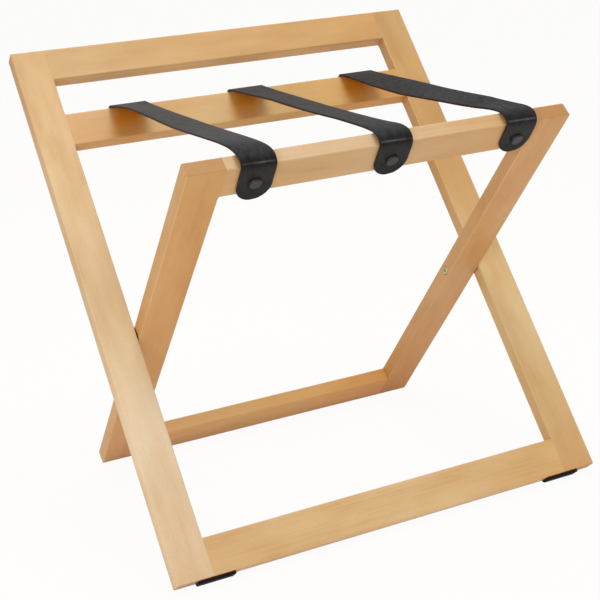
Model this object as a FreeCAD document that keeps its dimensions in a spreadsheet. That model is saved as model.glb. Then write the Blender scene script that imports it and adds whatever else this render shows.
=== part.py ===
import FreeCAD, Part
import math
import os
import Sketcher

# Folding luggage bench: two crossing frames of flat beech boards, turning about
# one pivot line, with a back rest on the taller frame and three straps between them.
#
# +X is to the right, +Y to the back and +Z up. The bench stands open on z = 0 with
# its box centred on x = 0 and y = 0.
#
# Each frame has its own upright directions: "reach" is the distance from the pivot
# line up along the boards, "leg" the distance down along them, and "depth" runs
# square through the boards, from their front face to their back face.

Vector = FreeCAD.Vector
X_AXIS = Vector(1, 0, 0)
Y_AXIS = Vector(0, 1, 0)
Z_AXIS = Vector(0, 0, 1)
NO_TURN = FreeCAD.Rotation()
HALF_TURN = FreeCAD.Rotation(Z_AXIS, 180)
QUARTER_TURN = 90
HALF = 0.5
SIDES = {"left": -1, "right": 1}
HEX_SIDES = 6

# Directions and lengths that differ by less than these count as the same.
PARALLEL = 1e-6
TOUCHING = 1e-3

doc = FreeCAD.newDocument("LuggageBench")
sheet = doc.addObject("Spreadsheet::Sheet", "Sizes")
written_sizes = []
sub_parts = []


def size(alias, value):
    """Write one driving dimension into the next row of the sheet, and return it."""
    written_sizes.append(alias)
    row = len(written_sizes)
    sheet.set(f"A{row}", alias)
    sheet.set(f"B{row}", str(value))
    sheet.setAlias(f"B{row}", alias)
    return value


# ---------------------------------------------------------------- driving dimensions

# Boards: every stile and rail is cut from one section.
bench_width = size("bench_width", 610.0)
board_width = size("board_width", 48.0)
board_thickness = size("board_thickness", 20.0)
edge_round = size("edge_round", 1.5)
end_bevel = size("end_bevel", 1.0)

# Outer frame, which leans back and carries the back rest.
outer_lean = size("outer_lean", 39.0)
outer_leg = size("outer_leg", 320.0)
outer_reach = size("outer_reach", 430.0)
strap_rail_reach = size("strap_rail_reach", 327.0)

# Inner frame, which leans forward between the outer stiles.
side_gap = size("side_gap", 1.5)
inner_leg = size("inner_leg", 330.0)
inner_reach = size("inner_reach", 335.0)

# Loose tenons: one across each butt joint of a rail with a stile.
tenon_width = size("tenon_width", 32.0)
tenon_thickness = size("tenon_thickness", 8.0)
tenon_length = size("tenon_length", 32.0)
tenon_clearance = size("tenon_clearance", 0.05)
tenon_end_gap = size("tenon_end_gap", 0.5)

# Pivot: a socket-head bolt from each inner stile into an insert in the outer stile.
pivot_diameter = size("pivot_diameter", 8.0)
pivot_clearance = size("pivot_clearance", 0.05)
bolt_head_diameter = size("bolt_head_diameter", 11.0)
bolt_head_height = size("bolt_head_height", 5.0)
bolt_head_clearance = size("bolt_head_clearance", 0.3)
bolt_grip = size("bolt_grip", 18.0)
socket_across = size("socket_across", 5.0)
socket_depth = size("socket_depth", 3.0)
insert_diameter = size("insert_diameter", 12.0)
insert_length = size("insert_length", 21.0)
insert_clearance = size("insert_clearance", 0.05)
washer_diameter = size("washer_diameter", 18.0)
washer_bore_clearance = size("washer_bore_clearance", 0.2)

# Straps: bent over both seat rails and buttoned to their outer faces.
strap_back_width = size("strap_back_width", 52.0)
strap_front_width = size("strap_front_width", 44.0)
strap_thickness = size("strap_thickness", 2.5)
strap_clearance = size("strap_clearance", 0.3)
strap_inset = size("strap_inset", 30.5)
strap_shift = size("strap_shift", 8.0)
strap_arch_radius = size("strap_arch_radius", 12.0)
strap_arch_lift = size("strap_arch_lift", 1.5)
front_tab_length = size("front_tab_length", 51.0)
back_tab_length = size("back_tab_length", 44.0)
tab_corner_radius = size("tab_corner_radius", 21.0)

# Buttons: a cap with sloping sides over a pan-head screw, at each end of each strap.
button_diameter = size("button_diameter", 16.0)
button_height = size("button_height", 3.6)
button_slope = size("button_slope", 1.2)
button_from_end = size("button_from_end", 24.0)
screw_head_diameter = size("screw_head_diameter", 8.0)
screw_head_height = size("screw_head_height", 1.8)
screw_head_clearance = size("screw_head_clearance", 0.3)
screw_diameter = size("screw_diameter", 4.0)
screw_length = size("screw_length", 16.0)
screw_clearance = size("screw_clearance", 0.05)
strap_hole_clearance = size("strap_hole_clearance", 0.3)

# Floor pads: bonded to the ends of the stiles and the rails between them.
pad_length = size("pad_length", 48.0)
pad_thickness = size("pad_thickness", 4.0)
pad_width = size("pad_width", 18.0)
pad_end_chamfer = size("pad_end_chamfer", 1.5)
pad_heel_cut = size("pad_heel_cut", 2.0)
outer_pad_inset = size("outer_pad_inset", 28.0)
inner_pad_inset = size("inner_pad_inset", 37.0)

doc.recompute()

# --------------------------------------------------------------- worked-out positions

half_thickness = HALF * board_thickness
outer_inside = HALF * bench_width - board_width
inner_outside = outer_inside - side_gap
inner_inside = inner_outside - board_width
lean = math.radians(outer_lean)


def foot_height(leg, angle):
    """Height of the pivot line over the floor, for a leg that leans by angle."""
    reach_to_heel = (leg + pad_thickness) * math.cos(angle)
    heel_depth = HALF * pad_width * math.sin(angle)
    return reach_to_heel + heel_depth - pad_heel_cut


pivot_z = foot_height(outer_leg, lean)

# The inner frame leans so far that its own pads reach the same floor.
heel_radius = math.hypot(inner_leg + pad_thickness, HALF * pad_width)
heel_angle = math.atan2(HALF * pad_width, inner_leg + pad_thickness)
inner_lean = heel_angle + math.acos((pivot_z + pad_heel_cut) / heel_radius)


def outer_point(reach, depth):
    """Point of the outer frame in the pivot's own upright axes (y, z)."""
    across = reach * math.sin(lean) + depth * math.cos(lean)
    height = reach * math.cos(lean) - depth * math.sin(lean)
    return Vector(0, across, height)


def inner_point(reach, depth):
    """Point of the inner frame in the pivot's own upright axes (y, z)."""
    across = -reach * math.sin(inner_lean) + depth * math.cos(inner_lean)
    height = reach * math.cos(inner_lean) + depth * math.sin(inner_lean)
    return Vector(0, across, height)


# The back rest's top edge is the rearmost line and the straps' front bend the
# foremost one, so the pivot line stands where the two are as far from y = 0.
rearmost = outer_point(outer_reach - edge_round, half_thickness - edge_round).y + edge_round
bend_centre = inner_point(inner_reach - edge_round, edge_round - half_thickness)
foremost = bend_centre.y - edge_round - strap_clearance - strap_thickness
pivot_y = -HALF * (rearmost + foremost)
pivot_place = Vector(0, pivot_y, pivot_z)

OUTER_FRAME = FreeCAD.Placement(pivot_place, FreeCAD.Rotation(X_AXIS, -outer_lean))
INNER_FRAME = FreeCAD.Placement(pivot_place, FreeCAD.Rotation(X_AXIS, math.degrees(inner_lean)))
UPRIGHT = FreeCAD.Placement(pivot_place, NO_TURN)

# Each rail's middle along the boards, as the sheet works it out.
outer_rails = {
    "back_rest_rail": "Sizes.outer_reach - Sizes.board_width / 2",
    "strap_rail": "Sizes.strap_rail_reach - Sizes.board_width / 2",
    "outer_bottom_rail": "Sizes.board_width / 2 - Sizes.outer_leg",
}
inner_rails = {
    "seat_rail": "Sizes.inner_reach - Sizes.board_width / 2",
    "inner_bottom_rail": "Sizes.board_width / 2 - Sizes.inner_leg",
}

# The outer straps stay an inset inside the inner stiles, before the common shift.
strap_spacing = inner_inside - strap_inset
strap_places = {
    "left": strap_shift - strap_spacing,
    "middle": strap_shift,
    "right": strap_shift + strap_spacing,
}
front_button_reach = inner_reach - front_tab_length + button_from_end
back_button_reach = strap_rail_reach - back_tab_length + button_from_end

# ------------------------------------------------------------------- drawing helpers


def from_sheet(expression):
    """Number that an expression over the sheet's sizes comes to, in mm or degrees."""
    return float(sheet.evalExpression(expression))


def new_body(name):
    """Start a body whose label is the sub-part's name."""
    body = doc.addObject("PartDesign::Body", name)
    body.Label = name
    sub_parts.append(body)
    return body


def origin_plane(body, role):
    """One of the body's own origin planes."""
    return next(item for item in body.Origin.OriginFeatures if item.Role == role)


def new_sketch(body, role, name):
    """Start a sketch on one of the body's own origin planes."""
    sketch = body.newObject("Sketcher::SketchObject", name)
    sketch.AttachmentSupport = (origin_plane(body, role), [""])
    sketch.MapMode = "FlatFace"
    return sketch


def bind(sketch, constraint, expression):
    """Add a dimension to a sketch and tie it to the sheet."""
    index = sketch.addConstraint(constraint)
    sketch.setExpression(f"Constraints[{index}]", expression)


def add_loop(sketch, corners):
    """Draw a closed loop of straight lines through the corners."""
    first = sketch.GeometryCount
    for here, there in zip(corners, corners[1:] + corners[:1]):
        sketch.addGeometry(Part.LineSegment(here, there), False)
    for step in range(len(corners)):
        following = (step + 1) % len(corners)
        joined = Sketcher.Constraint("Coincident", first + step, 2, first + following, 1)
        sketch.addConstraint(joined)
    return first


def square_up(sketch, level_sides, upright_sides):
    """Hold some sides of a loop level and others upright."""
    for side in level_sides:
        sketch.addConstraint(Sketcher.Constraint("Horizontal", side))
    for side in upright_sides:
        sketch.addConstraint(Sketcher.Constraint("Vertical", side))


def add_circle(sketch, radius_expression):
    """Draw a circle about the sketch's origin, with its radius tied to the sheet."""
    radius = from_sheet(radius_expression)
    index = sketch.addGeometry(Part.Circle(Vector(0, 0), Z_AXIS, radius), False)
    sketch.addConstraint(Sketcher.Constraint("Coincident", index, 3, -1, 1))
    bind(sketch, Sketcher.Constraint("Radius", index, radius), radius_expression)


def add_rectangle(sketch, width_expression, height_expression):
    """Draw a rectangle about the sketch's origin, with both sides tied to the sheet."""
    width = from_sheet(width_expression)
    height = from_sheet(height_expression)
    right = HALF * width
    top = HALF * height
    corners = [Vector(-right, -top), Vector(right, -top), Vector(right, top), Vector(-right, top)]
    first = add_loop(sketch, corners)
    square_up(sketch, (first, first + 2), (first + 1, first + 3))
    sketch.addConstraint(Sketcher.Constraint("Symmetric", first, 1, first + 2, 1, -1, 1))
    bind(sketch, Sketcher.Constraint("Distance", first, width), width_expression)
    bind(sketch, Sketcher.Constraint("Distance", first + 1, height), height_expression)


def dress(body, kind, feature, chosen, name, size_expression):
    """Fillet or chamfer the edges of a feature that the test chosen picks out."""
    doc.recompute()
    edges = [f"Edge{i + 1}" for i, edge in enumerate(feature.Shape.Edges) if chosen(edge)]
    dressed = body.newObject(f"PartDesign::{kind}", name)
    dressed.Base = (feature, edges)
    dressed.setExpression("Radius" if kind == "Fillet" else "Size", size_expression)
    doc.recompute()
    return dressed


def runs_along(axis):
    """Test for edges that run straight along an axis."""
    return lambda edge: abs(abs(edge.tangentAt(edge.FirstParameter).dot(axis)) - 1) < PARALLEL


def lies_across(axis):
    """Test for edges that lie wholly in a plane square to an axis."""

    def test(edge):
        box = edge.BoundBox
        extent = Vector(box.XLength, box.YLength, box.ZLength)
        return abs(extent.dot(axis)) < TOUCHING

    return test


def sink(body, sketch, name, depth_expression):
    """Sink a sketch's outline into the solid on the plane's positive side."""
    before = body.Tip.Shape.Volume
    pocket = body.newObject("PartDesign::Pocket", name)
    pocket.Profile = sketch
    pocket.Reversed = True
    pocket.setExpression("Length", depth_expression)
    doc.recompute()
    if pocket.Shape.Volume >= before:
        raise RuntimeError(f"{body.Label}: {name} cut nothing")
    return pocket


# --------------------------------------------------------------------------- boards


def sink_mortise(body, sketch_name, place_axis, place_expression):
    """Sink one mortise for a loose tenon, its mouth moved along one sketch axis."""
    mouth = new_sketch(body, "YZ_Plane", sketch_name)
    mouth.setExpression(f"AttachmentOffset.Base.{place_axis}", place_expression)
    add_rectangle(
        mouth,
        "Sizes.tenon_thickness + 2 * Sizes.tenon_clearance",
        "Sizes.tenon_width + 2 * Sizes.tenon_clearance",
    )
    return sink(body, mouth, f"{sketch_name}_cut", "Sizes.tenon_length / 2 + Sizes.tenon_end_gap")


def make_stile(name, frame, side, leg_alias, reach_alias, rails, inside):
    """One long board, drawn from its inner edge outwards and placed on its side.

    The left one is the right one turned about its own length.
    """
    body = new_body(name)
    section = new_sketch(body, "XY_Plane", f"{name}_section")
    add_rectangle(section, "Sizes.board_width", "Sizes.board_thickness")
    section.setExpression("AttachmentOffset.Base.x", "Sizes.board_width / 2")
    section.setExpression("AttachmentOffset.Base.z", f"-Sizes.{leg_alias}")
    board = body.newObject("PartDesign::Pad", f"{name}_board")
    board.Profile = section
    board.setExpression("Length", f"Sizes.{leg_alias} + Sizes.{reach_alias}")
    eased = dress(body, "Fillet", board, runs_along(Z_AXIS), f"{name}_rounds", "Sizes.edge_round")
    dress(body, "Chamfer", eased, lies_across(Z_AXIS), f"{name}_ends", "Sizes.end_bevel")
    for rail_name, place_expression in rails.items():
        sink_mortise(body, f"{name}_{rail_name}_mortise", "y", place_expression)
    turn = NO_TURN if side > 0 else HALF_TURN
    body.Placement = frame.multiply(FreeCAD.Placement(Vector(side * inside, 0, 0), turn))
    return body


def make_rail(name, frame, place_expression, length_expression):
    """One cross board between two stiles, with a mortise in each end."""
    body = new_body(name)
    section = new_sketch(body, "YZ_Plane", f"{name}_section")
    add_rectangle(section, "Sizes.board_thickness", "Sizes.board_width")
    board = body.newObject("PartDesign::Pad", f"{name}_board")
    board.Profile = section
    board.SideType = "Symmetric"
    board.setExpression("Length", length_expression)
    dress(body, "Fillet", board, runs_along(X_AXIS), f"{name}_rounds", "Sizes.edge_round")
    mortise = sink_mortise(body, f"{name}_mortise", "z", f"-{length_expression} / 2")
    other_end = body.newObject("PartDesign::Mirrored", f"{name}_other_mortise")
    other_end.Originals = [mortise]
    other_end.MirrorPlane = (origin_plane(body, "YZ_Plane"), [""])
    body.Tip = other_end
    doc.recompute()
    if other_end.Shape.Volume >= mortise.Shape.Volume:
        raise RuntimeError(f"{name}: the second mortise cut nothing")
    up = Vector(0, 0, from_sheet(place_expression))
    body.Placement = frame.multiply(FreeCAD.Placement(up, NO_TURN))
    return body


def drill_for_straps(body, facing, height):
    """Sink a pilot hole for each strap's screw into the rail's face.

    facing is -1 for the front face and 1 for the back face, and height is the
    buttons' distance above the rail's middle.
    """
    undrilled = body.Tip.Shape.Volume
    turn = FreeCAD.Rotation(X_AXIS, QUARTER_TURN * facing)
    for key, across in strap_places.items():
        hole = body.newObject("PartDesign::SubtractiveCylinder", f"{body.Label}_pilot_{key}")
        hole.setExpression("Radius", "Sizes.screw_diameter / 2 + Sizes.screw_clearance")
        hole.setExpression("Height", "Sizes.screw_length - Sizes.strap_thickness")
        hole.Placement = FreeCAD.Placement(Vector(across, facing * half_thickness, height), turn)
    doc.recompute()
    if body.Tip.Shape.Volume >= undrilled:
        raise RuntimeError(f"{body.Label}: the pilot holes cut nothing")


def bore(body, sketch_name, radius_expression, depth_expression):
    """Cut a round hole about the pivot line, from the stile's inner edge outwards."""
    sketch = new_sketch(body, "YZ_Plane", sketch_name)
    add_circle(sketch, radius_expression)
    sink(body, sketch, f"{sketch_name}_cut", depth_expression)


for side_name, side in SIDES.items():
    stile = make_stile(
        f"outer_stile_{side_name}", OUTER_FRAME, side,
        "outer_leg", "outer_reach", outer_rails, outer_inside,
    )
    bore(
        stile,
        f"outer_stile_{side_name}_insert_hole",
        "Sizes.insert_diameter / 2 + Sizes.insert_clearance",
        "Sizes.insert_length",
    )

for side_name, side in SIDES.items():
    stile = make_stile(
        f"inner_stile_{side_name}", INNER_FRAME, side,
        "inner_leg", "inner_reach", inner_rails, inner_inside,
    )
    bore(
        stile,
        f"inner_stile_{side_name}_pivot_bore",
        "Sizes.pivot_diameter / 2 + Sizes.pivot_clearance",
        "Sizes.board_width",
    )
    bore(
        stile,
        f"inner_stile_{side_name}_head_recess",
        "Sizes.bolt_head_diameter / 2 + Sizes.bolt_head_clearance",
        "Sizes.bolt_head_height + 2 * Sizes.bolt_head_clearance",
    )

outer_rail_length = "(Sizes.bench_width - 2 * Sizes.board_width)"
inner_rail_length = "(Sizes.bench_width - 4 * Sizes.board_width - 2 * Sizes.side_gap)"
rail_bodies = {}
for rail_name, place_expression in outer_rails.items():
    rail_bodies[rail_name] = make_rail(
        rail_name, OUTER_FRAME, place_expression, outer_rail_length
    )
for rail_name, place_expression in inner_rails.items():
    rail_bodies[rail_name] = make_rail(
        rail_name, INNER_FRAME, place_expression, inner_rail_length
    )
seat_rail_middle = from_sheet(inner_rails["seat_rail"])
strap_rail_middle = from_sheet(outer_rails["strap_rail"])
drill_for_straps(rail_bodies["seat_rail"], -1, front_button_reach - seat_rail_middle)
drill_for_straps(rail_bodies["strap_rail"], 1, back_button_reach - strap_rail_middle)

# --------------------------------------------------------------- tenons and hardware


def cylinder(name, radius_expression, height_expression):
    """A round bar along its own Z, tied to the sheet."""
    bar = doc.addObject("Part::Cylinder", name)
    bar.setExpression("Radius", radius_expression)
    bar.setExpression("Height", height_expression)
    return bar


def combine(kind, name, base, tool):
    """A boolean of two solids."""
    result = doc.addObject(kind, name)
    result.Base = base
    result.Tool = tool
    return result


def finished(item, name, place):
    """Give a finished piece of hardware its label and its place."""
    item.Label = name
    item.Placement = place
    sub_parts.append(item)


def finished_group(name, pieces, place):
    """Put identical pieces, each already in its own place, into one sub-part."""
    group = doc.addObject("Part::Compound", name)
    group.Links = pieces
    finished(group, name, place)


def make_tenons(name, frame, rails, rail_end):
    """All loose tenons of one frame, each half in a rail and half in a stile."""
    tenons = []
    for rail_name, place_expression in rails.items():
        for side_name, side in SIDES.items():
            tenon = doc.addObject("Part::Box", f"{rail_name}_{side_name}_tenon")
            tenon.setExpression("Length", "Sizes.tenon_length")
            tenon.setExpression("Width", "Sizes.tenon_thickness")
            tenon.setExpression("Height", "Sizes.tenon_width")
            corner = Vector(
                side * rail_end - HALF * tenon_length,
                -HALF * tenon_thickness,
                from_sheet(place_expression) - HALF * tenon_width,
            )
            tenon.Placement = FreeCAD.Placement(corner, NO_TURN)
            tenons.append(tenon)
    finished_group(name, tenons, frame)


make_tenons("outer_frame_tenons", OUTER_FRAME, outer_rails, outer_inside)
make_tenons("inner_frame_tenons", INNER_FRAME, inner_rails, inner_inside)


def on_pivot_line(side, distance):
    """Place in the frame's own axes that turns a piece's Z outwards along the pivot line."""
    outwards = FreeCAD.Rotation(Y_AXIS, QUARTER_TURN * side)
    return FreeCAD.Placement(Vector(side * distance, 0, 0), outwards)


def make_bolt(side_name, side):
    """A low round head with a hexagon socket, sunk into the inner stile, on a plain shank."""
    head = cylinder(
        f"head_{side_name}", "Sizes.bolt_head_diameter / 2", "Sizes.bolt_head_height"
    )
    shank = cylinder(
        f"shank_{side_name}",
        "Sizes.pivot_diameter / 2",
        "Sizes.board_width + Sizes.side_gap + Sizes.bolt_grip - Sizes.bolt_head_clearance",
    )
    blank = combine("Part::Fuse", f"bolt_blank_{side_name}", head, shank)
    socket = doc.addObject("Part::Prism", f"socket_{side_name}")
    socket.Polygon = HEX_SIDES
    socket.setExpression("Circumradius", "Sizes.socket_across / 2 / cos(30)")
    socket.setExpression("Height", "Sizes.socket_depth")
    bolt = combine("Part::Cut", f"bolt_{side_name}", blank, socket)
    place = on_pivot_line(side, inner_inside + bolt_head_clearance)
    finished(bolt, f"pivot_bolt_{side_name}", OUTER_FRAME.multiply(place))


def make_ring(name, place, outer_radius, inner_radius, height):
    """A round piece with a round hole right through it."""
    disc = cylinder(f"{name}_disc", outer_radius, height)
    eye = cylinder(f"{name}_eye", inner_radius, height)
    ring = combine("Part::Cut", name, disc, eye)
    ring.Placement = place
    return ring


inserts = []
washers = []
for side_name, side in SIDES.items():
    make_bolt(side_name, side)
    inserts.append(make_ring(
        f"insert_{side_name}",
        on_pivot_line(side, outer_inside),
        "Sizes.insert_diameter / 2",
        "Sizes.pivot_diameter / 2 + Sizes.insert_clearance",
        "Sizes.insert_length",
    ))
    washers.append(make_ring(
        f"washer_{side_name}",
        on_pivot_line(side, inner_outside),
        "Sizes.washer_diameter / 2",
        "Sizes.pivot_diameter / 2 + Sizes.washer_bore_clearance",
        "Sizes.side_gap",
    ))
finished_group("pivot_inserts", inserts, OUTER_FRAME)
finished_group("pivot_washers", washers, OUTER_FRAME)

# ---------------------------------------------------------------------------- straps

strap_offset = strap_clearance + HALF * strap_thickness
bend_radius = edge_round + strap_offset
over_rail = half_thickness + strap_offset

# The strap's middle line in side view, from the hidden back tab to the front tab.
strap_line = [
    outer_point(strap_rail_reach - back_tab_length, over_rail),
    outer_point(strap_rail_reach + strap_offset, over_rail),
    outer_point(strap_rail_reach + strap_offset, -over_rail),
    inner_point(inner_reach + strap_offset + strap_arch_lift, over_rail),
    inner_point(inner_reach + strap_offset, -over_rail),
    inner_point(inner_reach - front_tab_length, -over_rail),
]
strap_bends = [bend_radius, bend_radius, strap_arch_radius, bend_radius]


def left_of(direction):
    """The direction turned a quarter turn to the left, in the side view."""
    return Vector(0, -direction.z, direction.y)


def offset_line(line, bends, distance):
    """Edges of a bent line carried sideways by distance, as (y, z) points in order.

    Every bend keeps its centre, so its radius grows on the outside of the turn and
    shrinks on the inside. Straight runs give two points and bends give three.
    """
    runs = []
    reached = line[0]
    for before, corner, after, radius in zip(line, line[1:], line[2:], bends):
        inwards = (corner - before).normalize()
        outwards = (after - corner).normalize()
        turn = inwards.getAngle(outwards)
        cut_back = radius * math.tan(HALF * turn)
        handed = 1 if left_of(inwards).dot(outwards) > 0 else -1
        centre = corner - inwards * cut_back + left_of(inwards) * handed * radius
        start = corner - inwards * cut_back
        end = corner + outwards * cut_back
        bisector = (corner - centre).normalize()
        carried = radius - handed * distance
        shift = left_of(inwards) * distance
        runs.append((reached + shift, start + shift))
        around = [centre + (p - centre).normalize() * carried for p in (start, end)]
        runs.append((around[0], centre + bisector * carried, around[1]))
        reached = end
    last = (line[-1] - line[-2]).normalize()
    shift = left_of(last) * distance
    runs.append((reached + shift, line[-1] + shift))
    return runs


def flat(point):
    """A side-view point in the sketch's own two axes."""
    return Vector(point.y, point.z, 0)


def draw_run(sketch, points):
    """Add one straight run or one bend to a sketch."""
    ends = [flat(point) for point in points]
    if len(ends) == 2:
        sketch.addGeometry(Part.LineSegment(*ends), False)
    else:
        sketch.addGeometry(Part.Arc(*ends), False)


def is_tab_corner(edge):
    """True for a short edge through the strap's thickness at the end of a tab."""
    if abs(edge.Length - strap_thickness) > TOUCHING:
        return False
    middle = edge.valueAt(HALF * (edge.FirstParameter + edge.LastParameter))
    ends = (strap_line[0], strap_line[-1])
    return any(math.hypot(middle.y - end.y, middle.z - end.z) < TOUCHING for end in ends)


def make_strap(name, across):
    """One flat strap: its side profile, tapered towards the front, with round tabs."""
    body = new_body(name)
    profile = new_sketch(body, "YZ_Plane", f"{name}_profile")
    outer_side = offset_line(strap_line, strap_bends, HALF * strap_thickness)
    inner_side = offset_line(strap_line, strap_bends, -HALF * strap_thickness)
    for run in outer_side + inner_side:
        draw_run(profile, run)
    draw_run(profile, (outer_side[0][0], inner_side[0][0]))
    draw_run(profile, (outer_side[-1][-1], inner_side[-1][-1]))
    web = body.newObject("PartDesign::Pad", f"{name}_web")
    web.Profile = profile
    web.SideType = "Symmetric"
    web.setExpression("Length", "Sizes.strap_back_width")
    doc.recompute()

    # A wedge comes off each side: nothing at the strap rail, and enough at the front
    # bend to leave the front width there. It runs on past the bend by one strap width.
    wide_y = strap_line[2].y
    narrow_y = strap_line[4].y
    wedge_slope = HALF * (strap_back_width - strap_front_width) / (wide_y - narrow_y)
    past_y = narrow_y - strap_back_width
    wide_half = HALF * strap_back_width
    past_half = wide_half - wedge_slope * (wide_y - past_y)
    taper = new_sketch(body, "XY_Plane", f"{name}_taper")
    for side in SIDES.values():
        corners = [
            Vector(side * wide_half, wide_y),
            Vector(side * past_half, past_y),
            Vector(side * strap_back_width, past_y),
            Vector(side * strap_back_width, wide_y),
        ]
        add_loop(taper, corners)
    before = body.Tip.Shape.Volume
    trimmed = body.newObject("PartDesign::Pocket", f"{name}_trim")
    trimmed.Profile = taper
    trimmed.Type = "ThroughAll"
    trimmed.SideType = "Symmetric"
    doc.recompute()
    if trimmed.Shape.Volume >= before:
        raise RuntimeError(f"{name}: the taper cut nothing")
    dress(body, "Fillet", trimmed, is_tab_corner, f"{name}_tabs", "Sizes.tab_corner_radius")

    holes = {
        "front": (inner_point(front_button_reach, -over_rail), math.degrees(inner_lean)),
        "back": (outer_point(back_button_reach, over_rail), -outer_lean),
    }
    for key, (middle, angle) in holes.items():
        square = FreeCAD.Rotation(X_AXIS, QUARTER_TURN + angle)
        hole = body.newObject("PartDesign::SubtractiveCylinder", f"{name}_{key}_hole")
        hole.setExpression("Radius", "Sizes.screw_diameter / 2 + Sizes.strap_hole_clearance")
        hole.setExpression("Height", "2 * Sizes.strap_thickness")
        start = middle - square.multVec(Z_AXIS) * strap_thickness
        hole.Placement = FreeCAD.Placement(start, square)
    body.Placement = UPRIGHT.multiply(FreeCAD.Placement(Vector(across, 0, 0), NO_TURN))
    doc.recompute()
    return body


for key, across in strap_places.items():
    make_strap(f"strap_{key}", across)

# --------------------------------------------------------------------------- buttons


def on_tab(facing, across, reach):
    """Place on a tab's outer face, in its frame's axes, with the piece's Z pointing outwards.

    facing is -1 on the front of the seat rail and 1 on the back of the strap rail.
    """
    depth = facing * (half_thickness + strap_clearance + strap_thickness)
    turn = FreeCAD.Rotation(X_AXIS, -QUARTER_TURN * facing)
    return FreeCAD.Placement(Vector(across, depth, reach), turn)


def make_button(name, place):
    """A round cap with sloping sides, hollow below so that it covers the screw's head."""
    cap = doc.addObject("Part::Cone", f"{name}_cap")
    cap.setExpression("Radius1", "Sizes.button_diameter / 2")
    cap.setExpression("Radius2", "Sizes.button_diameter / 2 - Sizes.button_slope")
    cap.setExpression("Height", "Sizes.button_height")
    hollow = cylinder(
        f"{name}_hollow",
        "Sizes.screw_head_diameter / 2 + Sizes.screw_head_clearance",
        "Sizes.screw_head_height + Sizes.screw_head_clearance",
    )
    button = combine("Part::Cut", name, cap, hollow)
    button.Placement = place
    return button


def make_screw(name, place):
    """A pan-head screw whose head stands on the strap, with its shank down into the rail."""
    head = cylinder(f"{name}_head", "Sizes.screw_head_diameter / 2", "Sizes.screw_head_height")
    shank = cylinder(
        f"{name}_shank", "Sizes.screw_diameter / 2", "Sizes.screw_length + Sizes.screw_head_height"
    )
    shank.setExpression("Placement.Base.z", "-Sizes.screw_length")
    screw = combine("Part::Fuse", name, head, shank)
    screw.Placement = place
    return screw


def fasten_straps(end_name, frame, facing, reach):
    """The three buttons and the three screws at one end of the straps."""
    buttons = []
    screws = []
    for key, across in strap_places.items():
        place = on_tab(facing, across, reach)
        buttons.append(make_button(f"{end_name}_button_{key}", place))
        screws.append(make_screw(f"{end_name}_screw_{key}", place))
    finished_group(f"{end_name}_buttons", buttons, frame)
    finished_group(f"{end_name}_strap_screws", screws, frame)


fasten_straps("front", INNER_FRAME, -1, front_button_reach)
fasten_straps("back", OUTER_FRAME, 1, back_button_reach)

# ------------------------------------------------------------------------ floor pads


def make_pad(name, frame, heel_side, angle, leg, across):
    """A low block under a board's end, its heel cut level so that it stands flat.

    heel_side is 1 where the heel is at the back and -1 where it is at the front, and
    angle is the frame's lean in radians.
    """
    body = new_body(name)
    profile = new_sketch(body, "YZ_Plane", f"{name}_profile")
    heel = HALF * pad_width
    heel_rise = pad_heel_cut / math.cos(angle)
    heel_run = pad_heel_cut / math.sin(angle)
    corners = [
        Vector(-heel, 0),
        Vector(heel, 0),
        Vector(heel, heel_rise - pad_thickness),
        Vector(heel - heel_run, -pad_thickness),
        Vector(-heel, -pad_thickness),
    ]
    top = add_loop(profile, corners)
    back, _heel_slope, bottom, front = range(top + 1, top + len(corners))
    square_up(profile, (top, bottom), (back, front))
    profile.addConstraint(Sketcher.Constraint("Symmetric", top, 1, top, 2, -1, 1))
    lean_text = f"{math.degrees(angle)}"
    bind(profile, Sketcher.Constraint("Distance", top, pad_width), "Sizes.pad_width")
    bind(profile, Sketcher.Constraint("Distance", front, pad_thickness), "Sizes.pad_thickness")
    bind(
        profile,
        Sketcher.Constraint("Distance", back, pad_thickness - heel_rise),
        f"Sizes.pad_thickness - Sizes.pad_heel_cut / cos({lean_text})",
    )
    bind(
        profile,
        Sketcher.Constraint("Distance", bottom, pad_width - heel_run),
        f"Sizes.pad_width - Sizes.pad_heel_cut / sin({lean_text})",
    )
    block = body.newObject("PartDesign::Pad", f"{name}_block")
    block.Profile = profile
    block.SideType = "Symmetric"
    block.setExpression("Length", "Sizes.pad_length")

    def at_lower_end(edge):
        """True for the lower edge of either short end, beside the heel."""
        box = edge.BoundBox
        return box.XLength < TOUCHING and box.ZMax < TOUCHING - pad_thickness

    dress(body, "Chamfer", block, at_lower_end, f"{name}_bevel", "Sizes.pad_end_chamfer")
    turn = NO_TURN if heel_side > 0 else HALF_TURN
    body.Placement = frame.multiply(FreeCAD.Placement(Vector(across, 0, -leg), turn))


outer_pad_place = HALF * bench_width - outer_pad_inset - HALF * pad_length
inner_pad_place = inner_outside - inner_pad_inset - HALF * pad_length
for side_name, side in SIDES.items():
    make_pad(
        f"front_pad_{side_name}", OUTER_FRAME, 1, lean, outer_leg, side * outer_pad_place
    )
    make_pad(
        f"back_pad_{side_name}", INNER_FRAME, -1, inner_lean, inner_leg, side * inner_pad_place
    )

# ------------------------------------------------------------------- check and export

doc.recompute()
for item in doc.Objects:
    if "Invalid" in item.State or "Error" in item.State:
        raise RuntimeError(f"{item.Name} failed: {item.State}")
for item in sub_parts:
    if item.Shape.isNull() or not item.Shape.isValid():
        raise RuntimeError(f"{item.Label} has no valid shape")

os.makedirs("parts", exist_ok=True)
for item in sub_parts:
    item.Shape.exportStep(os.path.join("parts", f"{item.Label}.step"))
    print(item.Label, len(item.Shape.Solids), round(item.Shape.Volume))
print("pivot at", round(pivot_y, 4), round(pivot_z, 4), "inner lean", round(math.degrees(inner_lean), 4))
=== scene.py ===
"""Looks of a folding beech luggage bench: two crossed frames, three straps, one pivot line."""

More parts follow.
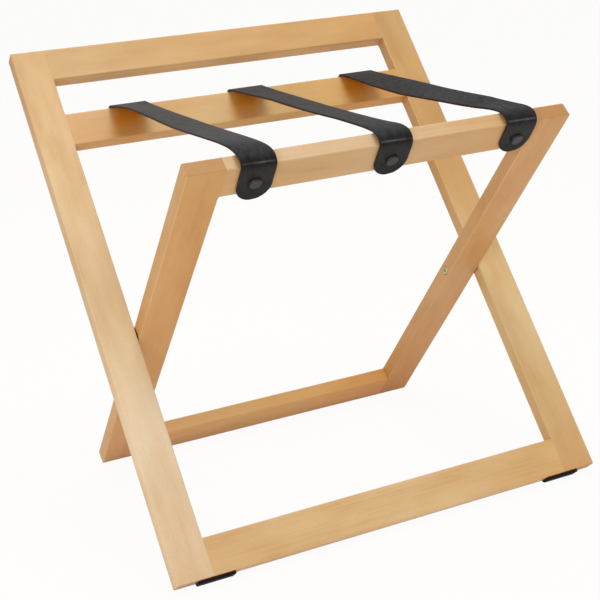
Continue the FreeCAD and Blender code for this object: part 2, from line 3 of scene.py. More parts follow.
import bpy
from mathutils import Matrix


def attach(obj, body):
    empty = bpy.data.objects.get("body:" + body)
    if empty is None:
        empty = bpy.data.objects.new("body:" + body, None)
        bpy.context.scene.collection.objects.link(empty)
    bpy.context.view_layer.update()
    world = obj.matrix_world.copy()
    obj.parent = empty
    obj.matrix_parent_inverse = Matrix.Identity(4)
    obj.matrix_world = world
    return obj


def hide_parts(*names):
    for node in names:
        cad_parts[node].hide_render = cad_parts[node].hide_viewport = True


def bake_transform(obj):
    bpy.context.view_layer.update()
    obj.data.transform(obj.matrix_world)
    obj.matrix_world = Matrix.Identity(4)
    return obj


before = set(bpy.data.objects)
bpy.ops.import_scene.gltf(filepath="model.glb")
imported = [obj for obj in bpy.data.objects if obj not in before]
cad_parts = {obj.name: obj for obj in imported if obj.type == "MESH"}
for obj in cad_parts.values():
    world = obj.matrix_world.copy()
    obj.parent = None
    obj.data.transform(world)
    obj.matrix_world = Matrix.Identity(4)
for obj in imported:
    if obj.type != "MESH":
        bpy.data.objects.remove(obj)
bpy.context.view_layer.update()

import logging
import math
from dataclasses import dataclass, field
from enum import Enum, IntEnum

import bmesh
import bpy
import numpy as np
from mathutils import Euler, Matrix, Vector

LOG = logging.getLogger("luggage_bench")
MM = 0.001
SAME_POINT = 1e-6
IMAGE_SIDE = 600
OUTER_BODY = "outer_frame"
INNER_BODY = "inner_frame"
HAND = {"left": -1, "right": 1}

Array = np.ndarray
Piece = bpy.types.Object
Pair = tuple[float, float]
Triple = tuple[float, float, float]
Socket = bpy.types.NodeSocket
Feed = Socket | float | tuple[float, ...]

# The part of its range from 0 to 1 that noise mostly fills.
MOST_NOISE = (0.3, 0.7)

# A Mix node's sockets for the share and for its two colours.
MIX_SOCKETS = (0, 6, 7)


# ---- mesh helpers


def grid_quads(rows: int, columns: int, closed: bool = True) -> Array:
    """Quads that join each point of a grid to its neighbours in the next row and column.

    Args:
        rows: Number of rows, which are never joined last to first.
        columns: Number of points in a row.
        closed: True where the last point of a row meets the first.

    Returns:
        Point numbers, four to a quad.
    """
    row = np.arange(rows - 1)[:, None] * columns
    here = np.arange(columns if closed else columns - 1)[None, :]
    there = (here + 1) % columns
    corners = [row + here, row + there, row + columns + there, row + columns + here]
    return np.stack(np.broadcast_arrays(*corners), axis=-1).reshape(-1, 4)


def closed_mesh(
    name: str,
    rings: Array,
    uv: Array | None = None,
    marks: dict[str, Array] | None = None,
) -> Piece:
    """Make one closed piece from rings of points, skinned ring to ring and capped.

    Args:
        name: Name of the new object.
        rings: Points in metres, shaped (rings, points in a ring, 3).
        uv: Pattern coordinates in metres for each point, shaped (rings, points, 2).
        marks: Named values from 0 to 1 for each point, shaped (rings, points).

    Returns:
        The object, with its faces turned outwards and its doubles merged.
    """
    rows, columns = rings.shape[:2]
    faces = grid_quads(rows, columns).tolist()
    faces.append(list(range(columns)))
    faces.append(list(range((rows - 1) * columns, rows * columns)))
    mesh = bpy.data.meshes.new(name)
    mesh.from_pydata(rings.reshape(-1, 3), [], faces)
    for mark, values in (marks or {}).items():
        layer = mesh.attributes.new(mark, "FLOAT", "POINT")
        spread = np.broadcast_to(values, (rows, columns)).astype(np.float32)
        layer.data.foreach_set("value", spread.ravel())
    if uv is not None:
        points = np.empty(len(mesh.loops), dtype=np.int32)
        mesh.loops.foreach_get("vertex_index", points)
        layer = mesh.uv_layers.new(name="surface")
        layer.uv.foreach_set("vector", uv.reshape(-1, 2)[points].ravel())
    made = bpy.data.objects.new(name, mesh)
    bpy.context.scene.collection.objects.link(made)
    work = bmesh.new()
    work.from_mesh(mesh)
    bmesh.ops.remove_doubles(work, verts=work.verts, dist=SAME_POINT)
    bmesh.ops.recalc_face_normals(work, faces=work.faces)
    keep_corners(work)
    work.to_mesh(mesh)
    work.free()
    return made


def keep_corners(work: bmesh.types.BMesh, limit: float = 40.0) -> None:
    """Shade a mesh smooth, but for edges where its faces turn by more than a limit.

    Args:
        work: The mesh being worked on.
        limit: Turn in degrees past which an edge stays crisp.
    """
    for face in work.faces:
        face.smooth = True
    for edge in work.edges:
        edge.smooth = edge.calc_face_angle(0.0) < math.radians(limit)


def cut_away(piece: Piece, tool: Piece) -> None:
    """Take the tool's volume out of a piece, and delete the tool.

    Args:
        piece: The closed piece that is cut.
        tool: The closed piece that shapes the hole.
    """
    cut = piece.modifiers.new("hole", "BOOLEAN")
    cut.operation = "DIFFERENCE"
    cut.solver = "EXACT"
    cut.object = tool
    bpy.context.view_layer.update()
    evaluated = piece.evaluated_get(bpy.context.evaluated_depsgraph_get())
    result = bpy.data.meshes.new_from_object(evaluated)
    piece.modifiers.clear()
    work = bmesh.new()
    work.from_mesh(result)
    keep_corners(work)
    work.to_mesh(result)
    work.free()
    old = piece.data
    piece.data = result
    result.name = old.name
    bpy.data.meshes.remove(old)
    bpy.data.objects.remove(tool)


def smooth_step(values: Array) -> Array:
    """Ease from 0 to 1: three times the square less twice the cube, clipped at both ends."""
    share = np.clip(values, 0.0, 1.0)
    return share * share * (3.0 - 2.0 * share)


def srgb(code: str) -> tuple[float, float, float, float]:
    """Turn a colour code into linear light, by the usual two-part curve.

    Args:
        code: Red, green and blue as six hexadecimal digits.

    Returns:
        The three linear shares, then a full alpha.
    """
    shares = [int(code[i : i + 2], 16) / 255 for i in (0, 2, 4)]
    light = [s / 12.92 if s <= 0.04045 else ((s + 0.055) / 1.055) ** 2.4 for s in shares]
    return (light[0], light[1], light[2], 1.0)


# ---- frame's axes


@dataclass(frozen=True)
class FrameAxes:
    """One frame's own directions: across the bench, up its boards, and through them.

    Attributes:
        body: CAD body that the frame's pieces ride on.
        lean: Degrees that the frame leans back from upright, negative for forwards.
        pivot_y: Place of the pivot line from front to back, in millimetres.
        pivot_z: Height of the pivot line above the floor, in millimetres.
    """

    body: str
    lean: float
    pivot_y: float = -23.83
    pivot_z: float = 255.459

    def place(self, across: Array, reach: Array, depth: Array) -> Array:
        """Carry points from the frame's own millimetres into the row frame's metres.

        The reach is turned about the pivot line by the lean, and the depth is at a
        right angle to it, so y = pivot + reach sin + depth cos, z = pivot + reach cos
        - depth sin.

        Args:
            across: Distance right of the bench's middle.
            reach: Distance up the boards from the pivot line.
            depth: Distance behind the boards' middle plane.

        Returns:
            Points in metres, with a last axis of three.
        """
        sine, cosine = math.sin(math.radians(self.lean)), math.cos(math.radians(self.lean))
        y = self.pivot_y + reach * sine + depth * cosine
        z = self.pivot_z + reach * cosine - depth * sine
        return np.stack(np.broadcast_arrays(across, y, z), axis=-1) * MM

    def side_view(self, reach: float, depth: float) -> Array:
        """Give one point of the side view as (y, z) in millimetres."""
        return self.place(np.array(0.0), np.array(reach), np.array(depth))[1:] / MM


OUTER_AXES = FrameAxes(OUTER_BODY, 39.0)
INNER_AXES = FrameAxes(INNER_BODY, -41.1397)


# ---- material helper


class Finish:
    """A material being wired up: adds nodes, sets their sockets and joins them."""

    def __init__(self, name: str) -> None:
        """Start an empty material with a Principled shader and its output.

        Args:
            name: Name of the material.
        """
        self.material = bpy.data.materials.new(name)
        self.material.use_nodes = True
        self.tree = self.material.node_tree
        self.tree.nodes.clear()
        self.shader = self.add("ShaderNodeBsdfPrincipled")
        output = self.add("ShaderNodeOutputMaterial")
        self.join(self.shader.outputs[0], output.inputs[0])

    def add(self, kind: str, settings: dict | None = None, **sockets: Feed) -> bpy.types.Node:
        """Add one node.

        Args:
            kind: Blender's name of the node type.
            settings: Values of the node's own properties.
            **sockets: Input sockets by name, with blanks written as underscores. An
                output socket is joined, and anything else is set as its value.

        Returns:
            The node.
        """
        node = self.tree.nodes.new(kind)
        for key, value in (settings or {}).items():
            setattr(node, key, value)
        for key, value in sockets.items():
            self.feed(node.inputs[key.replace("_", " ")], value)
        return node

    def feed(self, socket: Socket, value: Feed) -> None:
        """Join an output to an input socket, or set the socket's own value.

        Args:
            socket: The input.
            value: An output socket, or a plain value.
        """
        if isinstance(value, Socket):
            self.join(value, socket)
        else:
            socket.default_value = value

    def join(self, source: Socket, target: Socket) -> None:
        """Link one output to one input."""
        self.tree.links.new(source, target)

    def own_space(self) -> bpy.types.Node:
        """The coordinates of the piece itself."""
        return self.add("ShaderNodeTexCoord")

    def mark(self, name: str) -> Socket:
        """Read a value that the mesh carries at each of its points."""
        return self.add("ShaderNodeAttribute", {"attribute_name": name}).outputs["Fac"]

    def vector_step(self, kind: str, vector: Feed, other: Feed) -> bpy.types.Node:
        """Work out one step on coordinates.

        Args:
            kind: The step, such as ADD, MULTIPLY or DOT_PRODUCT.
            vector: The first coordinate.
            other: The second coordinate, or three plain numbers.

        Returns:
            The node, whose outputs hold the result.
        """
        node = self.add("ShaderNodeVectorMath", {"operation": kind})
        self.feed(node.inputs[0], vector)
        self.feed(node.inputs[1], other)
        return node

    def scaled(self, vector: Feed, scale: Triple) -> Socket:
        """Stretch a pattern: multiply each part of a coordinate by its own number."""
        return self.vector_step("MULTIPLY", vector, scale).outputs[0]

    def shifted(self, vector: Feed, shift: Triple) -> Socket:
        """Move a pattern: add its own number to each part of a coordinate."""
        return self.vector_step("ADD", vector, shift).outputs[0]

    def noise(self, vector: Feed, scale: float, detail: float, rough: float) -> Socket:
        """Cloudy noise between 0 and 1 at a coordinate.

        Args:
            vector: The coordinate.
            scale: Clouds to a unit of the coordinate.
            detail: Number of finer layers.
            rough: How strong each finer layer is beside the one before.

        Returns:
            The noise.
        """
        node = self.add(
            "ShaderNodeTexNoise", Vector=vector, Scale=scale, Detail=detail, Roughness=rough
        )
        return node.outputs[0]

    def ranged(self, value: Feed, low: float, high: float, to_low: float, to_high: float) -> Socket:
        """Carry a value from one range to another, clamped at both ends.

        Args:
            value: The value.
            low: Start of its range.
            high: End of its range.
            to_low: What the start becomes.
            to_high: What the end becomes.

        Returns:
            The carried value.
        """
        node = self.add("ShaderNodeMapRange")
        for socket, number in zip(node.inputs, (value, low, high, to_low, to_high)):
            self.feed(socket, number)
        return node.outputs[0]

    def step(self, kind: str, first: Feed, second: Feed = 0.0) -> Socket:
        """Work out one step of arithmetic.

        Args:
            kind: The step, such as ADD, MULTIPLY or ABSOLUTE.
            first: First number.
            second: Second number, where the step needs one.

        Returns:
            The result.
        """
        node = self.add("ShaderNodeMath", {"operation": kind})
        self.feed(node.inputs[0], first)
        self.feed(node.inputs[1], second)
        return node.outputs[0]

    def total(self, first: Socket, *others: Socket) -> Socket:
        """Add values up, one after the other.

        Args:
            first: The value to start from.
            *others: The values to add.

        Returns:
            Their sum.
        """
        for other in others:
            first = self.step("ADD", first, other)
        return first

    def blended(self, share: Feed, first: Feed, second: Feed, kind: str = "MIX") -> Socket:
        """Mix two colours by a share that changes over the surface.

        Args:
            share: How much of the second colour shows, from 0 to 1.
            first: The colour underneath.
            second: The colour on top.
            kind: How they mix.

        Returns:
            The mixed colour.
        """
        node = self.add("ShaderNodeMix", {"data_type": "RGBA", "blend_type": kind})
        for number, value in zip(MIX_SOCKETS, (share, first, second)):
            self.feed(node.inputs[number], value)
        return node.outputs[2]

    def ramp(self, value: Feed, stops: list[tuple[float, str]]) -> Socket:
        """Read a colour off a row of stops.

        Args:
            value: Where on the row to read, from 0 to 1.
            stops: Place and colour code of each stop, in order.

        Returns:
            The colour.
        """
        node = self.add("ShaderNodeValToRGB")
        row = node.color_ramp.elements
        while len(row) < len(stops):
            row.new(0.5)
        for element, (place, code) in zip(row, stops):
            element.position = place
            element.color = srgb(code)
        self.feed(node.inputs[0], value)
        return node.outputs[0]

    def surface(self, colour: Socket, rough: Socket, **fixed: float) -> None:
        """Give the shader the two patterns that every finish has, and its fixed levels.

        Args:
            colour: Base colour over the surface.
            rough: Roughness over the surface.
            **fixed: Levels that are the same all over, by the shader's own names, with
                blanks written as underscores.
        """
        self.join(colour, self.shader.inputs["Base Color"])
        self.join(rough, self.shader.inputs["Roughness"])
        for key, level in fixed.items():
            self.shader.inputs[key.replace("_", " ")].default_value = level

    def bump(self, height: Socket, strength: float, distance: float) -> None:
        """Lay fine relief on the shader.

        Args:
            height: Height over the surface, from 0 to 1.
            strength: How much of the relief shows.
            distance: Height of the relief in metres.
        """
        node = self.add("ShaderNodeBump", Height=height, Strength=strength, Distance=distance)
        self.join(node.outputs[0], self.shader.inputs["Normal"])

    def wear(self, *pieces: Piece) -> None:
        """Put the finished material on pieces, as their only one.

        Args:
            *pieces: The pieces.
        """
        for piece in pieces:
            piece.data.materials.clear()
            piece.data.materials.append(self.material)


# ---- finishes


@dataclass(frozen=True)
class BeechFinish:
    """Steamed beech under clear satin lacquer, with grain that runs along the board.

    Growth rings are circles round a pith line that lies beside the board, drawn out
    along it. Fine fibres and short dark rays lie on them, and end grain is darker.
    The board's tone drifts from one end to the other. Its open arrises carry a painted highlight,
    and a strap's painted shadow lies on the rail below it.

    Attributes:
        tones: Palest tones along the board, from its foot or left end, evenly spaced.
        pith: Where the pith line lies from the board's middle, in millimetres.
        seed: How far along an endless board this one was cut, in metres.
        ring_gap: Distance from one growth ring to the next, in millimetres.
        shaded_places: Places along the board, from its middle and in millimetres, where a
        strap's shadow is painted into the colour.
        ring_drawn: What a step along the board counts for, against one across it.
        fibre_cells: Fibres to a metre along, across and through the board.
        streak_cells: The same for the longer streaks.
        cloud_cells: The same for broad clouds of tone.
        ray_cells: The same for the short dark rays.
        ring_share: Least and most that the rings darken the board.
        streak_share: The same for the streaks.
        cloud_share: Most that the clouds darken it.
        fibre_share: Most that the fibres darken it.
        ray_share: Most that a ray shows.
        shades: Colours that the figure multiplies in, from pale to dark.
        end_grain: Colour of the boards' ends.
        wear_and_painted_light: Colour of the painted highlight on the arrises and of the painted
            light on a rail's underside.
        painted_shadow: Colour that the painted shadow below a strap multiplies in.
        painted_shadow_near: Distance from a strap's middle where it is full, and where it ends.
        painted_shadow_lean: How far the patch leans over the board's width.
        painted_shadow_low: How much of it shows at the board's low edge.
        ray: Colour of the rays.
    """

    tones: tuple[str, ...]
    pith: Pair
    seed: float
    ring_gap: float = 3.2
    shaded_places: tuple[float, ...] = ()
    ring_drawn: float = 0.035
    fibre_cells: Triple = (16.0, 1150.0, 1150.0)
    streak_cells: Triple = (3.0, 105.0, 105.0)
    cloud_cells: Triple = (9.0, 30.0, 30.0)
    ray_cells: Triple = (260.0, 1250.0, 1250.0)
    ring_share: Pair = (0.02, 0.12)
    streak_share: Pair = (0.01, 0.12)
    cloud_share: float = 0.48
    fibre_share: float = 0.07
    ray_share: float = 0.34
    shades: tuple[tuple[float, str], ...] = ((0.06, "FFFFFF"), (0.50, "F6EEE2"), (0.96, "E2CDB0"))
    end_grain: str = "B07D42"
    wear_and_painted_light: str = "F2DBB6"
    painted_shadow: str = "FFD066"
    painted_shadow_near: Pair = (11.0, 28.0)
    painted_shadow_lean: float = 12.0
    painted_shadow_low: float = 0.25
    ray: str = "AE7B4C"

    def stops(self) -> list[tuple[float, str]]:
        """Give each tone its place along the board, from 0 to 1."""
        last = len(self.tones) - 1
        return [(number / last, code) for number, code in enumerate(self.tones)]

    def figure(self, finish: Finish, cut: Socket) -> tuple[Socket, Socket, Socket]:
        """Wire up the grain's light and dark.

        A ring's brightness is the sine of its distance from the pith line, bent by
        noise. The figure is the sum of rings, streaks, clouds and fibres, each times
        its share.

        Args:
            finish: The material being wired up.
            cut: Coordinates along, across and through the board.

        Returns:
            Figure from 0, pale, to 1, dark, then the fine fibres and the streaks.
        """
        from_pith = finish.shifted(
            finish.scaled(cut, (self.ring_drawn, 1.0, 1.0)),
            (0.0, self.pith[0] * MM, self.pith[1] * MM),
        )
        rings = finish.add(
            "ShaderNodeTexWave",
            {"wave_type": "RINGS", "rings_direction": "X", "wave_profile": "SIN"},
            Vector=from_pith, Scale=math.pi / 10 / (self.ring_gap * MM), Distortion=6.5,
            Detail=2.0, Detail_Scale=0.55, Detail_Roughness=0.55,
        ).outputs[1]
        fibres = finish.noise(finish.scaled(cut, self.fibre_cells), 1.0, 3.0, 0.6)
        streaks = finish.noise(finish.scaled(cut, self.streak_cells), 1.0, 3.0, 0.55)
        clouds = finish.noise(finish.scaled(cut, self.cloud_cells), 1.0, 3.0, 0.55)
        fading = finish.ranged(clouds, 0.38, 0.66, *self.ring_share)
        figure = finish.total(
            finish.step("MULTIPLY", rings, fading),
            finish.ranged(streaks, 0.28, 0.72, *self.streak_share),
            finish.ranged(clouds, *MOST_NOISE, 0.0, self.cloud_share),
            finish.ranged(fibres, 0.36, 0.70, 0.0, self.fibre_share),
        )
        return figure, fibres, streaks

    def rays(self, finish: Finish, cut: Socket) -> Socket:
        """Wire up the short dark flecks of beech, in about one stretched cell in three.

        Args:
            finish: The material being wired up.
            cut: Coordinates along, across and through the board.

        Returns:
            How much of the rays' colour shows.
        """
        cells = finish.add(
            "ShaderNodeTexVoronoi", {"feature": "F1", "distance": "EUCLIDEAN"},
            Vector=finish.scaled(cut, self.ray_cells), Scale=1.0, Randomness=1.0,
        )
        chosen = finish.add("ShaderNodeSeparateColor", Color=cells.outputs["Color"])
        some = finish.ranged(chosen.outputs[0], 0.60, 0.66, 0.0, 1.0)
        near = finish.ranged(cells.outputs["Distance"], 0.10, 0.34, self.ray_share, 0.0)
        return finish.step("MULTIPLY", some, near)

    def painted_strap_shadow(self, finish: Finish, board: Socket, streaks: Socket) -> Socket:
        """Share of a strap's painted shadow: full near a strap's middle line, and none beyond it.

        The distance is taken along the board from a line that leans over the board's
        width, and the share fades towards the board's low edge.

        Args:
            finish: The material being wired up.
            board: Coordinates along, across and through the board, from its middle.
            streaks: Noise that roughens the patch's outline.

        Returns:
            The share, from 0 to 1.
        """
        split = finish.add("ShaderNodeSeparateXYZ", Vector=board)
        along, up = split.outputs[0], split.outputs[1]
        leaning = finish.total(
            along,
            finish.ranged(up, -24.0 * MM, 24.0 * MM, self.painted_shadow_lean * MM, 0.0),
            finish.ranged(streaks, *MOST_NOISE, -1.5 * MM, 1.5 * MM),
        )
        nearest: Feed = 1.0
        for place in self.shaded_places:
            gap = finish.step("ABSOLUTE", finish.step("SUBTRACT", leaning, place * MM))
            nearest = finish.step("MINIMUM", gap, nearest)
        full, none = (distance * MM for distance in self.painted_shadow_near)
        near = finish.ranged(nearest, full, none, 1.0, 0.0)
        shown = finish.ranged(up, -24.0 * MM, 2.0 * MM, self.painted_shadow_low, 1.0)
        return finish.step("MULTIPLY", near, shown)

    def made(self, name: str, turn: Matrix, middle: Vector, length: float) -> Finish:
        """Wire up the material of one board.

        Args:
            name: Name of the material.
            turn: Rotation from the row frame to (along, wide, thick) of the board.
            middle: The board's middle in the row frame, in metres.
            length: The board's length in metres.

        Returns:
            The finish, ready to wear.
        """
        finish = Finish(name)
        space = finish.own_space()
        board = finish.add(
            "ShaderNodeMapping", {"vector_type": "POINT"}, Vector=space.outputs["Object"],
            Rotation=turn.to_euler(), Location=-(turn @ middle),
        ).outputs[0]
        cut = finish.shifted(board, (self.seed, 0.0, 0.0))
        figure, fibres, streaks = self.figure(finish, cut)
        along = finish.add("ShaderNodeSeparateXYZ", Vector=board).outputs[0]
        drift = finish.ranged(along, -0.5 * length, 0.5 * length, 0.0, 1.0)
        patchy = finish.ranged(streaks, 0.35, 0.62, 0.08, 0.42)
        # Painted highlight: the pale colour lies on the open arrises and, where set, on a rail's
        # underside, broken up by the streaks.
        colour = finish.blended(
            finish.step("MULTIPLY", finish.mark("arris"), patchy),
            finish.ramp(drift, self.stops()), srgb(self.wear_and_painted_light),
        )
        colour = finish.blended(1.0, colour, finish.ramp(figure, list(self.shades)), "MULTIPLY")
        # Painted shadow: each strap's shadow on the rail below it, multiplied in as a deep golden
        # tone.
        if self.shaded_places:
            painted_shadow = self.painted_strap_shadow(finish, board, streaks)
            colour = finish.blended(painted_shadow, colour, srgb(self.painted_shadow), "MULTIPLY")
        colour = finish.blended(self.rays(finish, cut), colour, srgb(self.ray))
        facing = finish.vector_step("DOT_PRODUCT", space.outputs["Normal"], turn.row[0])
        at_end = finish.step("ABSOLUTE", facing.outputs["Value"])
        colour = finish.blended(
            finish.ranged(at_end, 0.75, 0.98, 0.0, 0.75), colour, srgb(self.end_grain)
        )
        finish.surface(
            colour, finish.ranged(streaks, *MOST_NOISE, 0.42, 0.52),
            Coat_Weight=0.05, Coat_Roughness=0.30, Specular_IOR_Level=0.22,
        )
        finish.bump(fibres, 0.12, 0.2 * MM)
        return finish


@dataclass(frozen=True)
class StrapFinish:
    """Black strap leather: fine lengthwise lines, a faint grain and raw brown edges.

    The pattern lies on the strap's own surface, across it and then along it.

    Attributes:
        face: Darker tone of the dyed side.
        wear_and_painted_light: Its lighter tone.
        edge: The cut edges.
        crease: Colour of the painted highlight along the crease.
        flesh: The undyed underside.
        glint: Tint of its shine.
        line_cells: Fine lines to a metre across and along.
        scuff_cells: The same for broad scuffs.
        mottle_cells: The same for small uneven spots.
        grain_cells: The same for the leather's pores.
        line_share: Most that the lines lighten the leather.
        scuff_share: The same for the scuffs.
        mottle_share: The same for the spots.
        full_gloss: Specular level where the strap is as glossy as its tabs.
        plain_gloss: Specular level where its own pattern isn't carried along.
        mottle_gloss: How far the spots raise and lower the specular level.
        scuff_gloss: The same for the scuffs.
    """

    face: str = "151515"
    wear_and_painted_light: str = "292929"
    edge: str = "35241A"
    crease: str = "5F6261"
    flesh: str = "9A693C"
    glint: str = "F0F4FF"
    line_cells: Triple = (1500.0, 26.0, 1.0)
    scuff_cells: Triple = (60.0, 22.0, 1.0)
    mottle_cells: Triple = (250.0, 105.0, 1.0)
    grain_cells: Triple = (900.0, 640.0, 1.0)
    line_share: float = 0.10
    scuff_share: float = 0.35
    mottle_share: float = 0.36
    full_gloss: float = 0.21
    plain_gloss: float = 0.12
    mottle_gloss: float = 0.035
    scuff_gloss: float = 0.030

    def made(self, name: str, seed: float) -> Finish:
        """Wire up the leather of one strap.

        Args:
            name: Name of the material.
            seed: Moves the pattern, so that no two straps look the same.

        Returns:
            The finish, ready to wear.
        """
        finish = Finish(name)
        own = finish.add("ShaderNodeUVMap", {"uv_map": "surface"})
        here = finish.shifted(own.outputs[0], (seed, seed, 0.0))
        lines = finish.noise(finish.scaled(here, self.line_cells), 1.0, 3.0, 0.6)
        scuffs = finish.noise(finish.scaled(here, self.scuff_cells), 1.0, 3.0, 0.6)
        mottle = finish.noise(finish.scaled(here, self.mottle_cells), 1.0, 2.0, 0.45)
        grain = finish.add(
            "ShaderNodeTexVoronoi", {"feature": "SMOOTH_F1"},
            Vector=finish.scaled(here, self.grain_cells), Scale=1.0, Smoothness=0.6,
        ).outputs["Distance"]
        tone = finish.total(
            finish.ranged(lines, *MOST_NOISE, 0.0, self.line_share),
            finish.ranged(scuffs, 0.35, 0.75, 0.0, self.scuff_share),
            finish.ranged(mottle, *MOST_NOISE, 0.0, self.mottle_share),
        )
        colour = finish.blended(tone, srgb(self.face), srgb(self.wear_and_painted_light))
        # Painted highlight along the crease, broken up by the scuffs.
        crease_patchiness = finish.ranged(scuffs, 0.35, 0.62, 0.30, 0.95)
        painted_light = finish.step("MULTIPLY", finish.mark("creased"), crease_patchiness)
        colour = finish.blended(painted_light, colour, srgb(self.crease))
        colour = finish.blended(finish.mark("flesh_side"), colour, srgb(self.flesh))
        colour = finish.blended(finish.mark("raw_edge"), colour, srgb(self.edge))
        rough = finish.total(
            finish.ranged(scuffs, *MOST_NOISE, 0.46, 0.58),
            finish.ranged(grain, 0.0, 0.8, 0.0, 0.08),
        )
        finish.surface(colour, rough, Specular_IOR_Level=self.plain_gloss)
        finish.shader.inputs["Specular Tint"].default_value = srgb(self.glint)
        gloss = finish.total(
            finish.ranged(finish.mark("sheen"), 0.0, 1.0, 0.0, self.full_gloss),
            finish.total(
                finish.ranged(mottle, *MOST_NOISE, -self.mottle_gloss, self.mottle_gloss),
                finish.ranged(scuffs, *MOST_NOISE, -self.scuff_gloss, self.scuff_gloss),
            ),
        )
        finish.join(gloss, finish.shader.inputs["Specular IOR Level"])
        height = finish.total(
            finish.ranged(lines, 0.2, 0.8, 0.0, 0.3), finish.ranged(grain, 0.0, 0.8, 0.4, 0.0)
        )
        finish.bump(height, 0.30, 0.2 * MM)
        return finish


@dataclass(frozen=True)
class MouldedFinish:
    """Moulded plastic or rubber with a faint cloudy tone and a fine spark texture.

    Attributes:
        colour: Its darker tone.
        lighter: Its lighter tone.
        roughness: Roughness in the middle of its range.
        relief: Strength of the spark texture.
        shine: Specular level.
        painted_reflection: Colour of a painted reflection of the wood on the part nearest it, or
            nothing.
        cloud_scale: Clouds to a metre.
        spark_scale: Sparks to a metre.
    """

    colour: str
    lighter: str
    roughness: float
    relief: float
    shine: float
    painted_reflection: str = ""
    cloud_scale: float = 220.0
    spark_scale: float = 2600.0

    def made(self, name: str) -> Finish:
        """Wire up the moulded material.

        Args:
            name: Name of the material.

        Returns:
            The finish, ready to wear.
        """
        finish = Finish(name)
        place = finish.own_space().outputs["Object"]
        clouds = finish.noise(place, self.cloud_scale, 3.0, 0.6)
        spark = finish.noise(place, self.spark_scale, 2.0, 0.5)
        colour = finish.blended(
            finish.ranged(clouds, 0.35, 0.65, 0.0, 1.0), srgb(self.colour), srgb(self.lighter)
        )
        # Painted reflection: the part nearest the wood takes a reddish-brown tone, standing in for
        # the wood it mirrors.
        if self.painted_reflection:
            reflection_share = finish.ranged(finish.mark("near_wood"), 0.50, 0.58, 0.0, 1.0)
            colour = finish.blended(reflection_share, colour, srgb(self.painted_reflection))
        rough = finish.ranged(spark, *MOST_NOISE, self.roughness - 0.05, self.roughness + 0.06)
        finish.surface(colour, rough, Specular_IOR_Level=self.shine)
        finish.bump(spark, self.relief, 0.1 * MM)
        return finish


@dataclass(frozen=True)
class PlatedFinish:
    """Plated or browned metal, brushed finely, whose tone drifts in bands.

    Attributes:
        colour: Its own tone.
        drift: The tone that it drifts to.
        roughness: Roughness in the lower part of its range.
        band_scale: Bands to a metre.
        brush_cells: Brush marks to a metre along the bolts' axis and at right angles.
    """

    colour: str
    drift: str
    roughness: float = 0.34
    band_scale: float = 320.0
    brush_cells: Triple = (400.0, 3200.0, 3200.0)

    def made(self, name: str) -> Finish:
        """Wire up the metal.

        Args:
            name: Name of the material.

        Returns:
            The finish, ready to wear.
        """
        finish = Finish(name)
        place = finish.own_space().outputs["Object"]
        bands = finish.noise(place, self.band_scale, 2.0, 0.5)
        brushed = finish.noise(finish.scaled(place, self.brush_cells), 1.0, 2.0, 0.5)
        colour = finish.blended(
            finish.ranged(bands, 0.35, 0.65, 0.0, 1.0), srgb(self.colour), srgb(self.drift)
        )
        rough = finish.ranged(brushed, *MOST_NOISE, self.roughness - 0.06, self.roughness + 0.1)
        finish.surface(colour, rough, Metallic=1.0)
        finish.bump(brushed, 0.08, 0.1 * MM)
        return finish


# ---- boards


class Run(Enum):
    """Which way a board runs in its frame."""

    STILE = "up the frame"
    RAIL = "across the frame"


